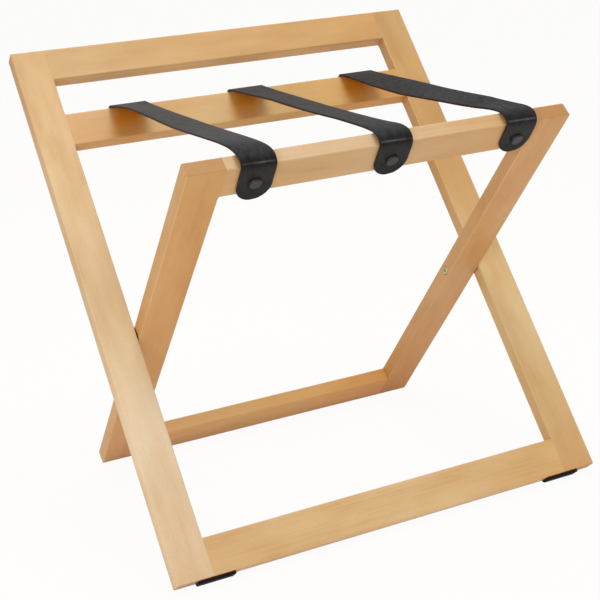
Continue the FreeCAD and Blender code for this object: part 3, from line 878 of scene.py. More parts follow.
@dataclass(frozen=True)
class BoardShape:
    """Sizes that all nine boards share, in millimetres.

    Attributes:
        thickness: Through the board.
        arris: Radius of an open long edge.
        joint_arris: Its radius where another board meets it.
        least_arris: Smallest radius left where a rounded end draws the outline in.
        waver: Each sine of the arris's wander: share of the radius, length, and turns
            of the board's own phase.
        fade: Length over which an arris closes up beside a joint.
        seat: How far a rail's end is let into its stile.
        end_rim: Width of the rim of points on a stile's end face.
        step: Gap between stations on a plain stretch.
        near_joint: How far from a joint the stations stand a millimetre apart.
        clear: Least gap between a rail's end and the next station, and the width of the
        strip of painted light along a rail's underside.
        end_clear: Least gap between a stile's rounded end and the next station.
        arc_steps: Steps round a quarter circle.
        flat_shares: Places of the extra points on a straight side.
    """

    thickness: float = 20.0
    arris: float = 1.7
    joint_arris: float = 0.32
    least_arris: float = 0.35
    waver: tuple[tuple[float, float, int], ...] = ((0.07, 37.0, 1), (0.05, 13.0, 2))
    fade: float = 5.0
    seat: float = 0.15
    end_rim: float = 0.5
    step: float = 11.0
    near_joint: float = 6.0
    clear: float = 0.5
    end_clear: float = 0.6
    arc_steps: int = 6
    flat_shares: tuple[float, ...] = (0.025, 0.33, 0.67, 0.975)

    def arris_at(self, along: Array, joints: tuple[Pair, ...], phase: float) -> Array:
        """Radius of one long arris, which closes up wherever another board meets it.

        The radius wanders by a few percent, as a sum of two slow sines, and eases to
        the joint's small radius over the fade length before each joint.

        Args:
            along: Stations along the board.
            joints: First and last station of each joint on this arris.
            phase: Start of the sines.

        Returns:
            One radius for each station.
        """
        wander = sum(
            share * np.sin(along / length + turns * phase) for share, length, turns in self.waver
        )
        radius = self.arris * (1.0 + wander)
        for low, high in joints:
            away = np.maximum(low - along, along - high)
            open_share = smooth_step(away / self.fade)
            radius = self.joint_arris + (radius - self.joint_arris) * open_share
        return radius

    def ring_points(self, wide: Array, thick: Array, radii: Array) -> Array:
        """Outline of the board at each station: a rectangle with four rounded corners.

        Each corner is a quarter circle about a point set in from it by its radius.
        Straight sides get four more points, two of them close to the corners, which
        keep the flat faces flat where they are shaded smooth.

        Args:
            wide: Low and high side across the width, shaped (stations, 2).
            thick: Low and high side through the thickness, shaped (stations, 2).
            radii: Corner radii, shaped (stations, 4), anticlockwise from high, high.

        Returns:
            Points shaped (stations, points, 2).
        """
        side = np.array([[1, 1], [0, 1], [0, 0], [1, 0]])
        sign = 2.0 * side - 1.0
        corner = np.stack([wide[:, side[:, 0]], thick[:, side[:, 1]]], axis=-1)
        centre = corner - sign[None] * radii[..., None]
        sweep = np.linspace(0.0, math.pi / 2, self.arc_steps + 1)
        angle = np.arange(4)[:, None] * math.pi / 2 + sweep[None]
        spoke = np.stack([np.cos(angle), np.sin(angle)], axis=-1)
        arcs = centre[:, :, None] + radii[..., None, None] * spoke[None]
        start, end = arcs[:, :, -1:], np.roll(arcs[:, :, :1], -1, axis=1)
        share = np.array(self.flat_shares)[None, None, :, None]
        flats = start + (end - start) * share
        return np.concatenate([arcs, flats], axis=2).reshape(len(wide), -1, 2)

    def painted_light(self, radii: Array) -> Array:
        """Share of painted highlight at each outline point: 1 in the middle of an open arris, else
        less.

        On an arc it is the sine of twice the angle, times the radius as a share of
        the usual one. On the flats it is 0.

        Args:
            radii: Corner radii, shaped (stations, 4).

        Returns:
            Painted highlight shaped (stations, points), in the order of the outline.
        """
        sweep = np.sin(2.0 * np.linspace(0.0, math.pi / 2, self.arc_steps + 1))
        arcs = np.clip(radii / self.arris, 0.0, 1.0)[..., None] ** 2 * sweep
        flats = np.zeros((*radii.shape, len(self.flat_shares)))
        return np.concatenate([arcs, flats], axis=2).reshape(len(radii), -1)


BOARD = BoardShape()


@dataclass(frozen=True)
class Board:
    """One beech board, which replaces the CAD node of the same name.

    Attributes:
        node: CAD node, and first part of the new piece's name.
        axes: The frame that the board belongs to.
        run: Whether it is a stile or a rail.
        across: Lowest and highest place across the bench, in millimetres.
        reach: Lowest and highest place up the frame from the pivot, in millimetres.
        finish: Its beech.
        joints: Reaches at which rails meet a stile's inner side.
        underside_light: Share of painted light on a rail's underside, standing in for light bounced
            up from below, from 0 to 1.
    """

    node: str
    axes: FrameAxes
    run: Run
    across: Pair
    reach: Pair
    finish: BeechFinish
    joints: tuple[Pair, ...] = ()
    underside_light: float = 0.0

    def stations(self) -> tuple[Array, Array]:
        """Places along the board where its outline is worked out.

        They stand close together at the ends and near the joints. A stile's ends are
        rounded: at an angle a from the end face, the station is one minus sine a of
        the radius in from the end, and the outline is one minus cosine a narrower.

        Returns:
            The stations, and how far the outline is drawn in at each.
        """
        low, high = self.reach if self.run is Run.STILE else self.across
        if self.run is Run.RAIL:
            low, high = low - BOARD.seat, high + BOARD.seat
        near = np.arange(-BOARD.near_joint, 1.0)
        parts = [np.linspace(low, high, int((high - low) / BOARD.step) + 1)[1:-1]]
        for joint_low, joint_high in self.joints:
            parts += [joint_low + near, joint_high - near]
        inside = np.unique(np.round(np.concatenate(parts), 4))
        if self.run is Run.RAIL:
            inside = inside[(inside > low + BOARD.clear) & (inside < high - BOARD.clear)]
            along = np.concatenate([[low], inside, [high]])
            return along, np.zeros_like(along)
        angle = np.linspace(math.pi / 2, 0.0, BOARD.arc_steps + 1)
        inwards = BOARD.arris * (1.0 - np.sin(angle))
        drawn = BOARD.arris * (1.0 - np.cos(angle))
        room = BOARD.arris + BOARD.end_clear
        inside = inside[(inside > low + room) & (inside < high - room)]
        along = np.concatenate([[low], low + inwards, inside, high - inwards[::-1], [high]])
        rim = [drawn[0] + BOARD.end_rim]
        inset = np.concatenate([rim, drawn, np.zeros(len(inside)), drawn[::-1], rim])
        return along, inset

    def inner_side(self) -> int:
        """The side of a stile that faces the bench's middle: 1 for its high side."""
        return 1 if sum(self.across) < 0 else -1

    def build(self) -> Piece:
        """Carry the outline along the board and put it in place.

        A stile's two inner arrises close up at its joints and keep their radius at its
        rounded ends. The other arrises of a stile shrink there with the outline.

        Returns:
            The board, in place, without a finish.
        """
        along, inset = self.stations()
        half = BOARD.thickness / 2
        phase = self.finish.seed * 7.0
        free = np.stack([BOARD.arris_at(along, (), phase + k) for k in range(4)], axis=-1)
        if self.run is Run.STILE:
            low, high = self.across
            inner = self.inner_side()
            wide = np.stack([low + inset * (inner > 0), high - inset * (inner < 0)], axis=-1)
            jointed = np.stack(
                [BOARD.arris_at(along, self.joints, phase + k) for k in range(4)], axis=-1
            )
            meets = np.array([inner > 0, inner < 0, inner < 0, inner > 0])
            shrunk = np.maximum(free - inset[:, None], BOARD.least_arris)
            radii = np.where(meets, jointed, shrunk)
        else:
            wide = np.broadcast_to(np.array(self.reach), (len(along), 2))
            radii = free
        thick = np.stack([-half + inset, half - inset], axis=-1)
        ring = BOARD.ring_points(wide, thick, radii)
        # Painted highlight on the open arrises, strongest in the middle of each arc.
        painted_light = BOARD.painted_light(radii)
        # Painted light: the set rail's underside takes the pale colour, standing in for light
        # bounced up from below.
        if self.underside_light:
            painted_light = np.maximum(painted_light, self.underside_light * (ring[..., 0] < self.reach[0] + BOARD.clear))
        station = np.broadcast_to(along[:, None], ring.shape[:2])
        if self.run is Run.STILE:
            points = self.axes.place(ring[..., 0], station, ring[..., 1])
        else:
            points = self.axes.place(station, ring[..., 0], ring[..., 1])
        return closed_mesh(self.node + "_beech", points, marks={"arris": painted_light})

    def dress(self, piece: Piece) -> None:
        """Give the board its beech, let it ride, and say what it stands for.

        Args:
            piece: The board from build, with any holes already cut.
        """
        lean = math.radians(self.axes.lean)
        upwards = Vector((0.0, math.sin(lean), math.cos(lean)))
        sideways = Vector((1.0, 0.0, 0.0))
        if self.run is Run.STILE:
            along, wide, span = upwards, sideways, self.reach
        else:
            along, wide, span = sideways, upwards, self.across
        turn = Matrix((along, wide, along.cross(wide)))
        centre = [np.array(sum(pair) / 2) for pair in (self.across, self.reach, (0.0, 0.0))]
        middle = Vector(self.axes.place(*centre))
        length = (span[1] - span[0]) * MM
        self.finish.made("beech_" + self.node, turn, middle, length).wear(piece)
        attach(piece, self.axes.body)
        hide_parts(self.node)
        LOG.info("board %s on %s", piece.name, self.axes.body)


# ---- round pieces


@dataclass(frozen=True)
class Spot:
    """A place on the bench with its own three directions, for small hardware.

    Attributes:
        origin: The place in the row frame, in metres.
        right: Unit direction to its right.
        up: Unit direction up.
        out: Unit direction out of the surface.
    """

    origin: Array
    right: Array
    up: Array
    out: Array

    def carry(self, right: Array, up: Array, out: Array) -> Array:
        """Carry points from the spot's own millimetres into metres in the row frame.

        Args:
            right: Distance to the right of the spot.
            up: Distance up from it.
            out: Distance out from it.

        Returns:
            Points with a last axis of three.
        """
        parts = [np.asarray(part)[..., None] for part in (right, up, out)]
        moved = parts[0] * self.right + parts[1] * self.up + parts[2] * self.out
        return self.origin + moved * MM


def on_board(axes: FrameAxes, across: float, reach: float, depth: float) -> Spot:
    """A spot on a board's front or back face, pointing out of the wood.

    Args:
        axes: The frame.
        across: Place across the bench.
        reach: Place up the frame.
        depth: Place through the frame, whose sign also says which face it is.

    Returns:
        The spot.
    """
    origin = axes.place(np.array(across), np.array(reach), np.array(depth))
    up = axes.place(np.array(across), np.array(reach + 1.0), np.array(depth)) - origin
    out = axes.place(np.array(across), np.array(reach), np.array(depth * 2)) - origin
    up, out = up / np.linalg.norm(up), out / np.linalg.norm(out)
    return Spot(origin, np.cross(up, out), up, out)


def turned(name: str, spot: Spot, profile: Array, sides: int = 48) -> Piece:
    """Turn a profile about an axis, as on a lathe.

    A point at angle a on a ring is the axis point, plus its radius times cosine a and
    sine a along two directions at right angles to the axis.

    Args:
        name: Name of the new piece.
        spot: Where the axis starts and which way it points.
        profile: Radius and distance along the axis, in millimetres, row by row.
        sides: Points in one ring.

    Returns:
        The closed piece, in the row frame.
    """
    angle = np.linspace(0.0, 2 * math.pi, sides, endpoint=False)
    radius, along = profile[:, :1], profile[:, 1:] + 0 * angle
    return closed_mesh(name, spot.carry(radius * np.cos(angle), radius * np.sin(angle), along))


@dataclass(frozen=True)
class PivotSet:
    """The two pivot bolts, with their sunk heads, and the steel beside them.

    All sizes are millimetres. A bolt's head faces the bench's middle, in a round sink
    in the inner stile, and its shank runs out into the outer stile. Places along the
    pivot line are measured from the bench's middle.

    Attributes:
        head_radius: Of the bolt's head.
        head_height: Of the head.
        shank_radius: Of the shank.
        shank_end: From the head's face to the shank's end.
        head_place: Where the head's face lies.
        stile_face: Where the inner stile's inner side lies.
        sink_radius: Of the sink that holds the head.
        sink_depth: Of the sink.
        chamfer: Round the sink's mouth.
        bore_radius: Of the shank's clearance hole.
        board_width: Of the inner stile along the pivot line.
        socket_across: Between two flats of the hexagon socket.
        socket_depth: Of the socket.
        insert_face: Where the outer stile's inner side lies.
        insert_radius: Of the threaded insert's hole.
        insert_length: Depth of that hole.
        overrun: How far a cutter runs past the wood.
        sides: Points round a bolt.
    """

    head_radius: float = 5.5
    head_height: float = 5.0
    shank_radius: float = 4.0
    shank_end: float = 67.2
    head_place: float = 207.8
    stile_face: float = 207.5
    sink_radius: float = 5.9
    sink_depth: float = 5.4
    chamfer: float = 1.3
    bore_radius: float = 4.15
    board_width: float = 48.0
    socket_across: float = 5.0
    socket_depth: float = 3.0
    insert_face: float = 257.0
    insert_radius: float = 6.0
    insert_length: float = 22.0
    overrun: float = 2.0
    sides: int = 72

    def spot(self, hand: int, distance: float) -> Spot:
        """A spot on the pivot line, pointing away from the bench's middle.

        Args:
            hand: -1 on the left, 1 on the right.
            distance: How far from the bench's middle.

        Returns:
            The spot, whose right and up are at right angles to the line.
        """
        origin = OUTER_AXES.place(np.array(hand * distance), np.array(0.0), np.array(0.0))
        right, up, out = np.eye(3)[[1, 2, 0]]
        return Spot(origin, right * hand, up, out * hand)

    def drill(self, stile: Piece, side: str, face: float, wall: list[Pair]) -> None:
        """Cut a round hole about the pivot line.

        Args:
            stile: The stile that is cut.
            side: "left" or "right".
            face: Where the face that the hole starts from lies.
            wall: Radius and depth of each corner of the hole's wall, from its mouth.
        """
        mouth, floor = wall[0][1], wall[-1][1]
        profile = np.array([(0.0, mouth), *wall, (0.0, floor)])
        cut_away(stile, turned("cutter", self.spot(HAND[side], face), profile))

    def bore_inner(self, side: str, stile: Piece) -> None:
        """Cut the bolt's sink and its clearance hole through an inner stile.

        Args:
            side: "left" or "right".
            stile: The stile.
        """
        mouth, through = self.sink_radius + self.chamfer, self.board_width + self.overrun
        wall = [
            (mouth + self.overrun, -self.overrun), (self.sink_radius, self.chamfer),
            (self.sink_radius, self.sink_depth), (self.bore_radius, self.sink_depth),
            (self.bore_radius, through),
        ]
        self.drill(stile, side, self.stile_face, wall)

    def bore_outer(self, side: str, stile: Piece) -> None:
        """Cut the blind hole for the threaded insert in an outer stile."""
        wall = [(self.insert_radius, -self.overrun), (self.insert_radius, self.insert_length)]
        self.drill(stile, side, self.insert_face, wall)

    def bolt(self, side: str) -> Piece:
        """Build one bolt: a low domed head with a hexagon socket, and its shank.

        The surface is a row of rings about the axis. In the socket a ring is a
        hexagon: its radius at angle a is the half width divided by the cosine of the
        angle from the middle of the nearest flat. Outside it the rings are round.

        Args:
            side: "left" or "right".

        Returns:
            The bolt.
        """
        angle = np.linspace(0.0, 2 * math.pi, self.sides, endpoint=False)
        from_flat = (angle + math.pi / 6) % (math.pi / 3) - math.pi / 6
        hexagon = self.socket_across / 2 / np.cos(from_flat)
        head, shank = self.head_radius, self.shank_radius
        hexed = [
            (0.02, self.socket_depth + 0.6), (0.97, self.socket_depth),
            (1.0, self.socket_depth - 0.1), (1.0, 0.45), (1.06, 0.18),
        ]
        rounds = [
            (head - 1.9, 0.0), (head - 1.1, 0.02), (head - 0.6, 0.14), (head - 0.28, 0.34),
            (head - 0.08, 0.66), (head, 1.0), (head, self.head_height - 0.25),
            (head - 0.2, self.head_height), (shank + 0.3, self.head_height),
            (shank, self.head_height + 0.3), (shank, self.shank_end - 0.8),
            (shank - 0.8, self.shank_end), (0.05, self.shank_end),
        ]
        radius = np.concatenate(
            [
                np.array([row[0] for row in hexed])[:, None] * hexagon,
                np.array([row[0] for row in rounds])[:, None] * np.ones(self.sides),
            ]
        )
        depth = np.array([row[1] for row in hexed + rounds])[:, None] + 0 * angle
        rings = self.spot(HAND[side], self.head_place).carry(
            radius * np.cos(angle), radius * np.sin(angle), depth
        )
        return closed_mesh(f"pivot_bolt_{side}_plated", rings)

    def build(self, outer: dict[str, Piece], inner: dict[str, Piece]) -> None:
        """Bore all four stiles at the pivot and make both bolts.

        Args:
            outer: The outer stiles by side.
            inner: The inner stiles by side.
        """
        yellow = PlatedFinish("C2C39C", "A9B58A").made("yellow_zinc")
        for side in HAND:
            self.bore_inner(side, inner[side])
            self.bore_outer(side, outer[side])
            bolt = self.bolt(side)
            yellow.wear(bolt)
            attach(bolt, OUTER_BODY)
            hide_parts(f"pivot_bolt_{side}")
            LOG.info("bolt %s with its sink and bore", bolt.name)


@dataclass(frozen=True)
class ButtonSet:
    """Six screw caps that hold the straps' tabs, on the front and on the back.

    All sizes are millimetres.

    Attributes:
        radius: Of a cap.
        height: Of its face above the strap.
        sunk: How far its foot is pressed into the leather.
        strap_face: From the boards' middle to the tabs' outer face.
        front_reach: Of the front caps, up the inner frame from the pivot.
        back_reach: Of the back caps, up the outer frame.
        sides: Points round a cap.
        places: Where each strap's caps lie, right of the bench's middle.
    """

    radius: float = 8.0
    height: float = 3.6
    sunk: float = 0.7
    strap_face: float = 12.8
    front_reach: float = 308.0
    back_reach: float = 307.0
    sides: int = 56
    places: dict[str, float] = field(
        default_factory=lambda: {"left": -169.0, "middle": 8.0, "right": 185.0}
    )

    def profile(self) -> Array:
        """Half outline of a cap from its hollow foot to the middle of its face.

        The side slopes in as it rises, the edge is a rounded bead, and the face is a
        shallow dish that rises again to a low dome.

        Returns:
            Radius and height of each ring, in millimetres.
        """
        r, h, s = self.radius, self.height, -self.sunk
        return np.array(
            [
                [0.05, s], [r - 0.35, s], [r - 0.1, s + 0.12], [r, s + 0.4], [r, 0.6],
                [r - 0.12, 1.5], [r - 0.34, 2.35], [r - 0.6, 2.95], [r - 0.95, 3.35],
                [r - 1.35, 3.53], [r - 1.8, h - 0.04], [r - 2.2, h - 0.14],
                [r - 2.6, h - 0.27], [r - 3.1, h - 0.33], [r - 4.2, h - 0.3],
                [r - 5.8, h - 0.22], [r - 7.2, h - 0.18], [0.05, h - 0.17],
            ]
        )

    def build(self) -> None:
        """Make the six caps and let each ride the frame that its rail belongs to."""
        plastic = MouldedFinish("262627", "303031", roughness=0.42, relief=0.12, shine=0.4)
        grey = plastic.made("cap_plastic")
        ends = (
            ("front", INNER_AXES, self.front_reach, -self.strap_face),
            ("back", OUTER_AXES, self.back_reach, self.strap_face),
        )
        for end, axes, reach, depth in ends:
            for key, across in self.places.items():
                spot = on_board(axes, across, reach, depth)
                cap = turned(f"{end}_button_{key}_cap", spot, self.profile(), self.sides)
                grey.wear(cap)
                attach(cap, axes.body)
                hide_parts(f"{end}_buttons")
                LOG.info("cap %s", cap.name)


# ---- straps


@dataclass(frozen=True)
class StrapLay:
    """How one strap lies between the rails.

    Attributes:
        side: Which strap it is.
        across: Its middle, right of the bench's middle, in millimetres.
        drift: How far right of that its middle lies at the strap rail, at the crease
            over the seat rail, and at the front tab's end.
        tab_extra: How much longer than the usual its front tab is.
        sheen: How glossy it is where it leaves the strap rail, 90 and 34 mm short of
            the crease and at the crease, where 1 is as glossy as its tabs.
        left_rise: Height of its left edge above the straight line, at given places.
        right_rise: The same for its right edge.
    """

    side: str
    across: float
    drift: Triple
    tab_extra: float
    sheen: tuple[float, float, float, float]
    left_rise: tuple[Pair, ...]
    right_rise: tuple[Pair, ...]


STRAP_LAYS = (
    StrapLay(
        "left", -169.0, (0.5, -1.8, 3.0), 4.0, (1.0, 0.92, 0.42, 0.52),
        ((174, 0.0), (140, 3.6), (105, 6.2), (75, 6.4), (30, 5.0), (-20, 3.0), (-60, 1.8),
         (-105, 2.2), (-150, 2.9), (-195, 3.5), (-222, 2.4), (-246, 0.0)),
        ((174, 0.0), (150, -1.0), (110, -1.6), (60, -1.8), (0, -1.6), (-60, -1.4),
         (-110, -0.8), (-155, 0.0), (-195, 0.5), (-222, 0.3), (-246, 0.0)),
    ),
    StrapLay(
        "middle", 8.0, (0.5, -3.7, 3.5), 0.5, (0.66, 0.48, 0.42, 0.62),
        ((174, 0.0), (145, 1.0), (105, 1.5), (65, 2.4), (35, 2.7), (0, 1.9), (-45, 1.0),
         (-100, 0.9), (-150, 1.5), (-195, 0.8), (-228, 0.0), (-246, 0.0)),
        ((174, 0.0), (145, -1.0), (105, -1.8), (50, -2.4), (0, -3.0), (-45, -3.6),
         (-110, -3.6), (-160, -3.3), (-200, -2.4), (-228, -0.6), (-246, 0.0)),
    ),
    StrapLay(
        "right", 185.0, (2.5, -5.0, 2.0), -2.5, (0.48, 0.26, 0.30, 0.62),
        ((174, 0.0), (145, -0.6), (110, -3.2), (75, -5.4), (30, -7.2), (-5, -8.4),
         (-40, -7.4), (-90, -6.1), (-145, -5.1), (-185, -3.7), (-215, -1.6), (-246, 0.0)),
        ((174, 0.0), (145, -0.7), (105, -0.7), (50, -0.7), (0, -1.1), (-50, -1.8),
         (-100, -1.6), (-150, -0.6), (-185, -1.4), (-214, -1.4), (-246, 0.0)),
    ),
)


class KnotAt(IntEnum):
    """Numbers of the knots that the strap's other shapes are measured from.

    BEND is the foot of its bend over the strap rail, OFF_RAIL is where it leaves that
    rail, CREASE is over the seat rail's front arris, and CAP is under the front cap.
    """

    BEND = 1
    OFF_RAIL = 4
    CREASE = 6
    CAP = 8


@dataclass(frozen=True)
class Knot:
    """A point that the strap's side view passes through.

    Attributes:
        place: Where it is, as (y, z) in millimetres.
        heading: Which way the strap goes there, in degrees below straight forward.
        before: Length of the handle that shapes the curve up to it.
        after: Length of the handle that shapes the curve beyond it.
    """

    place: Array
    heading: float
    before: float
    after: float

    def handle(self, length: float) -> Array:
        """The point that lies this far along the heading: minus cosine, minus sine."""
        turn = math.radians(self.heading)
        return self.place - length * np.array([math.cos(turn), math.sin(turn)])


@dataclass(frozen=True)
class StrapShape:
    """Sizes and surface of one strap, in millimetres.

    Attributes:
        back_half: Half its width where it leaves the strap rail.
        front_half: Half its width from the seat rail on.
        half_thickness: Half the leather.
        on_wood: From a rail's middle to the leather's middle.
        corner: Radius of the tabs' rounded ends.
        edge_round: Radius of the cut edges.
        step: Gap between stations on a plain stretch.
        over_back: Where the close stations over the strap rail start and end, beyond
            its first and last bend, and their gap.
        over_front: The same from the crease to the cap.
        over_crease: The same round the crease.
        free_ease: Lengths over which it comes free at the back and at the front.
        skew_ease: Length over which its front turns to its own heading.
        dimple_radius: Of the dip round a cap.
        dimple_ease: Length over which the dip eases out.
        dimple_depth: Of the dip.
        wide_y: Where its taper starts, from front to back.
        narrow_y: Where its taper ends.
        crease_width: Of the painted highlight along the crease.
        crease_lean: How far short of its knot the crease runs in the middle, and how
            much farther at its left edge.
        crease_highlight: How strong that painted highlight is in the middle, and how much less at
            the edges.
        sheen_places: Where its gloss is given, from the crease on.
    """

    back_half: float = 26.0
    front_half: float = 22.0
    half_thickness: float = 1.25
    on_wood: float = 11.55
    corner: float = 21.0
    edge_round: float = 0.55
    step: float = 4.0
    over_back: Triple = (-2.0, 3.0, 0.9)
    over_front: Triple = (-46.0, 12.0, 2.0)
    over_crease: Triple = (-6.0, 8.0, 0.35)
    free_ease: Pair = (14.0, 16.0)
    skew_ease: float = 22.0
    dimple_radius: float = 9.0
    dimple_ease: float = 2.0
    dimple_depth: float = 0.55
    wide_y: float = 173.96
    narrow_y: float = -253.95
    crease_width: float = 0.85
    crease_lean: Pair = (0.4, 0.3)
    crease_highlight: Pair = (0.95, 0.6)
    sheen_places: tuple[float, ...] = (-330.0, -90.0, -34.0, 0.0, 6.0)

    def knots(self, tab_extra: float) -> list[Knot]:
        """Side view of the strap's middle line, from its hidden tab to its front tab.

        It climbs behind the strap rail, turns over that rail's top edge in two bends,
        and crosses to the seat rail. There it eases down over the back arris, stands
        a little proud of the front one, where the leather is creased, and drops as
        the front tab, which the cap presses to the wood and whose end curls away.

        Args:
            tab_extra: How much longer than the usual the front tab is.

        Returns:
            The knots in order.
        """
        back, front = OUTER_AXES.lean, INNER_AXES.lean
        climb, over, drop = 270.0 - back, -back, 90.0 - front
        return [
            Knot(OUTER_AXES.side_view(283.0, self.on_wood), climb, 0.0, 14.0),
            Knot(OUTER_AXES.side_view(325.5, self.on_wood), climb, 14.0, 1.68),
            Knot(OUTER_AXES.side_view(328.55, 8.5), over, 1.68, 6.0),
            Knot(OUTER_AXES.side_view(328.55, -9.96), over, 6.0, 1.03),
            Knot(np.array([172.37, 518.06]), 0.0, 1.03, 110.0),
            Knot(np.array([-195.0, 518.6]), 0.0, 110.0, 38.0),
            Knot(np.array([-255.3, 505.1]), 72.0, 14.0, 0.29),
            Knot(np.array([-255.38, 504.23]), 97.0, 0.29, 6.0),
            Knot(INNER_AXES.side_view(308.0, -11.62), drop + 0.5, 13.0, 8.0),
            Knot(INNER_AXES.side_view(284.0 - tab_extra, -13.9), drop - 9.0, 8.0, 0.0),
        ]

    def middle_line(self, tab_extra: float) -> tuple[Array, ...]:
        """Walk the curves between the knots and read them at the stations.

        Each stretch is a cubic curve: the sum of the two knots and their handles,
        each weighted by its share of (1 - t + t) cubed.

        Args:
            tab_extra: How much longer than the usual the front tab is.

        Returns:
            Distance walked, points (y, z), unit directions, and distance at each knot.
        """
        knots = self.knots(tab_extra)
        t = np.linspace(0.0, 1.0, 240, endpoint=False)[:, None]
        rows = []
        for here, there in zip(knots[:-1], knots[1:]):
            first, last = here.handle(here.after), there.handle(-there.before)
            rows.append(
                (1 - t) ** 3 * here.place + 3 * (1 - t) ** 2 * t * first
                + 3 * (1 - t) * t**2 * last + t**3 * there.place
            )
        fine = np.vstack([*rows, knots[-1].place[None]])
        lengths = np.linalg.norm(np.diff(fine, axis=0), axis=1)
        reached = np.concatenate([[0.0], np.cumsum(lengths)])
        at_knot = reached[:: len(t)]
        walked = self.stations(at_knot)
        place = np.stack([np.interp(walked, reached, fine[:, k]) for k in (0, 1)], axis=-1)
        middle = (reached[1:] + reached[:-1]) / 2
        ways = np.diff(fine, axis=0) / np.diff(reached)[:, None]
        way = np.stack([np.interp(walked, middle, ways[:, k]) for k in (0, 1)], axis=-1)
        return walked, place, way / np.linalg.norm(way, axis=1, keepdims=True), at_knot

    def stations(self, at_knot: Array) -> Array:
        """Distances to read the middle line at: close at its ends, bends and crease.

        Args:
            at_knot: Distance walked at each knot.

        Returns:
            The distances, in order and never closer than a fiftieth of a millimetre.
        """
        total = at_knot[-1]
        angle = np.linspace(0.0, math.pi / 2, 22)
        ends = np.concatenate(
            [self.edge_round * (1 - np.cos(angle[::4])), self.corner * (1 - np.cos(angle))]
        )
        plain = np.arange(self.corner + 1.0, total - self.corner - 1.0, self.step)
        start, end, gap = self.over_back
        back = np.arange(at_knot[KnotAt.BEND] + start, at_knot[KnotAt.OFF_RAIL] + end, gap)
        start, end, gap = self.over_front
        front = np.arange(at_knot[KnotAt.CREASE] + start, at_knot[KnotAt.CAP] + end, gap)
        crease = at_knot[KnotAt.CREASE] + np.arange(*self.over_crease)
        walked = np.concatenate([ends, total - ends, plain, back, front, crease])
        walked = np.unique(np.round(walked, 3))
        return walked[np.concatenate([[True], np.diff(walked) > 0.02])]

    def half_width(self, walked: Array, y: Array) -> Array:
        """Half the strap's width: an even taper to the front, and round tab ends.

        Within one corner radius of an end, the half width is drawn in by the radius
        less the root of radius squared minus the square of what is left to the arc.

        Args:
            walked: Distance along the strap.
            y: Place from front to back.

        Returns:
            One half width to a station.
        """
        share = np.clip((self.wide_y - y) / (self.wide_y - self.narrow_y), 0.0, 1.0)
        share = np.maximum.accumulate(share)
        half = self.back_half + (self.front_half - self.back_half) * share
        to_end = np.minimum(walked, walked[-1] - walked)
        left = np.clip(self.corner - to_end, 0.0, self.corner)
        return half - self.corner + np.sqrt(self.corner**2 - left**2)

    def outline(self) -> tuple[Array, ...]:
        """One turn round the strap's section, as shares that suit any width.

        The outer face is a row of points. The cut edge beside it is a half circle of
        the edge radius, by the cosine and sine of its angle. The rest of the section
        is the same, turned half round.

        Returns:
            The part of the half width that a point takes, its distance beyond that in
            edge radii, its height in half thicknesses less the edge, and how raw the
            leather is there.
        """
        across = np.linspace(-1.0, 1.0, 15)
        angle = np.linspace(math.pi / 2, 0.0, 4)
        top = [(u, 0.0, 1.0, 1.0, 0.0) for u in across]
        upper = [(1.0, math.cos(a), math.sin(a), 1.0, 1.0) for a in angle[1:]]
        lower = [(1.0, math.cos(a), -math.sin(a), -1.0, 1.0) for a in angle[::-1][:-1]]
        half = np.array(top + upper + lower)
        turn = np.vstack([half, half * (-1, -1, -1, -1, 1)])
        return turn[:, 0], turn[:, 1], turn[:, 2:4], turn[:, 4]

    def lift(self, lay: StrapLay, y: Array, free: Array, tilt: Array) -> tuple[Array, Array]:
        """How far the strap rises where nothing holds it, straight from edge to edge.

        The heights given for each edge are joined up, smoothed with a bell of nine
        stations, and mixed by the place across the strap.

        Args:
            lay: How this strap lies.
            y: Place of each station from front to back.
            free: 1 where the strap hangs free, 0 on the rails and tabs.
            tilt: Place across the strap, from -1 to 1, shaped (stations, points).

        Returns:
            Rise at each point, and the right edge's rise less the left's by station.
        """
        bell = np.hanning(9) / np.hanning(9).sum()
        edges = []
        for points in (lay.left_rise, lay.right_rise):
            places = [-p[0] for p in points]
            raised = np.interp(-y, places, [p[1] for p in points]) * free
            edges.append(np.convolve(np.pad(raised, 4, mode="edge"), bell, "valid"))
        rise = edges[0][:, None] * (1 - tilt) / 2 + edges[1][:, None] * (1 + tilt) / 2
        return rise, edges[1] - edges[0]

    def build(self, lay: StrapLay, buttons: ButtonSet) -> Piece:
        """Lay one strap over the rails.

        The middle line gives each station its place and its outward direction. The
        section is set across it, tapered, shifted by the drift and turned to stay
        square to it, and raised by the lay. Round each cap the outer face dips.

        Args:
            lay: How this strap lies.
            buttons: Where its caps sit.

        Returns:
            The strap, in place, with its pattern coordinates.
        """
        walked, place, way, at_knot = self.middle_line(lay.tab_extra)
        half = self.half_width(walked, place[:, 0])
        share, beyond, level, raw = self.outline()
        to_end = np.minimum(walked, walked[-1] - walked)
        left = np.clip(1.0 - to_end / self.edge_round, 0.0, 1.0)
        thick = self.half_thickness - self.edge_round * (1.0 - np.sqrt(1.0 - left**2))
        edge = np.minimum(self.edge_round, half * 0.6)[:, None]
        across = share[None] * (half[:, None] - edge) + beyond[None] * edge
        height = (thick[:, None] - edge) * level[None, :, 1] + edge * level[None, :, 0]
        out = np.stack([way[:, 1], -way[:, 0]], axis=-1)
        off_rail, crease = at_knot[KnotAt.OFF_RAIL], at_knot[KnotAt.CREASE]
        free = smooth_step((walked - off_rail) / self.free_ease[0])
        free *= smooth_step((crease - walked) / self.free_ease[1])
        drift = np.interp(walked, [off_rail, crease, walked[-1]], lay.drift)
        skew = (lay.drift[2] - lay.drift[1]) / (walked[-1] - crease)
        turned_by = skew * smooth_step((walked - crease) / self.skew_ease)[:, None]
        tilt = across / np.maximum(half, 1.0)[:, None]
        rise, cant = self.lift(lay, place[:, 0], free, tilt)
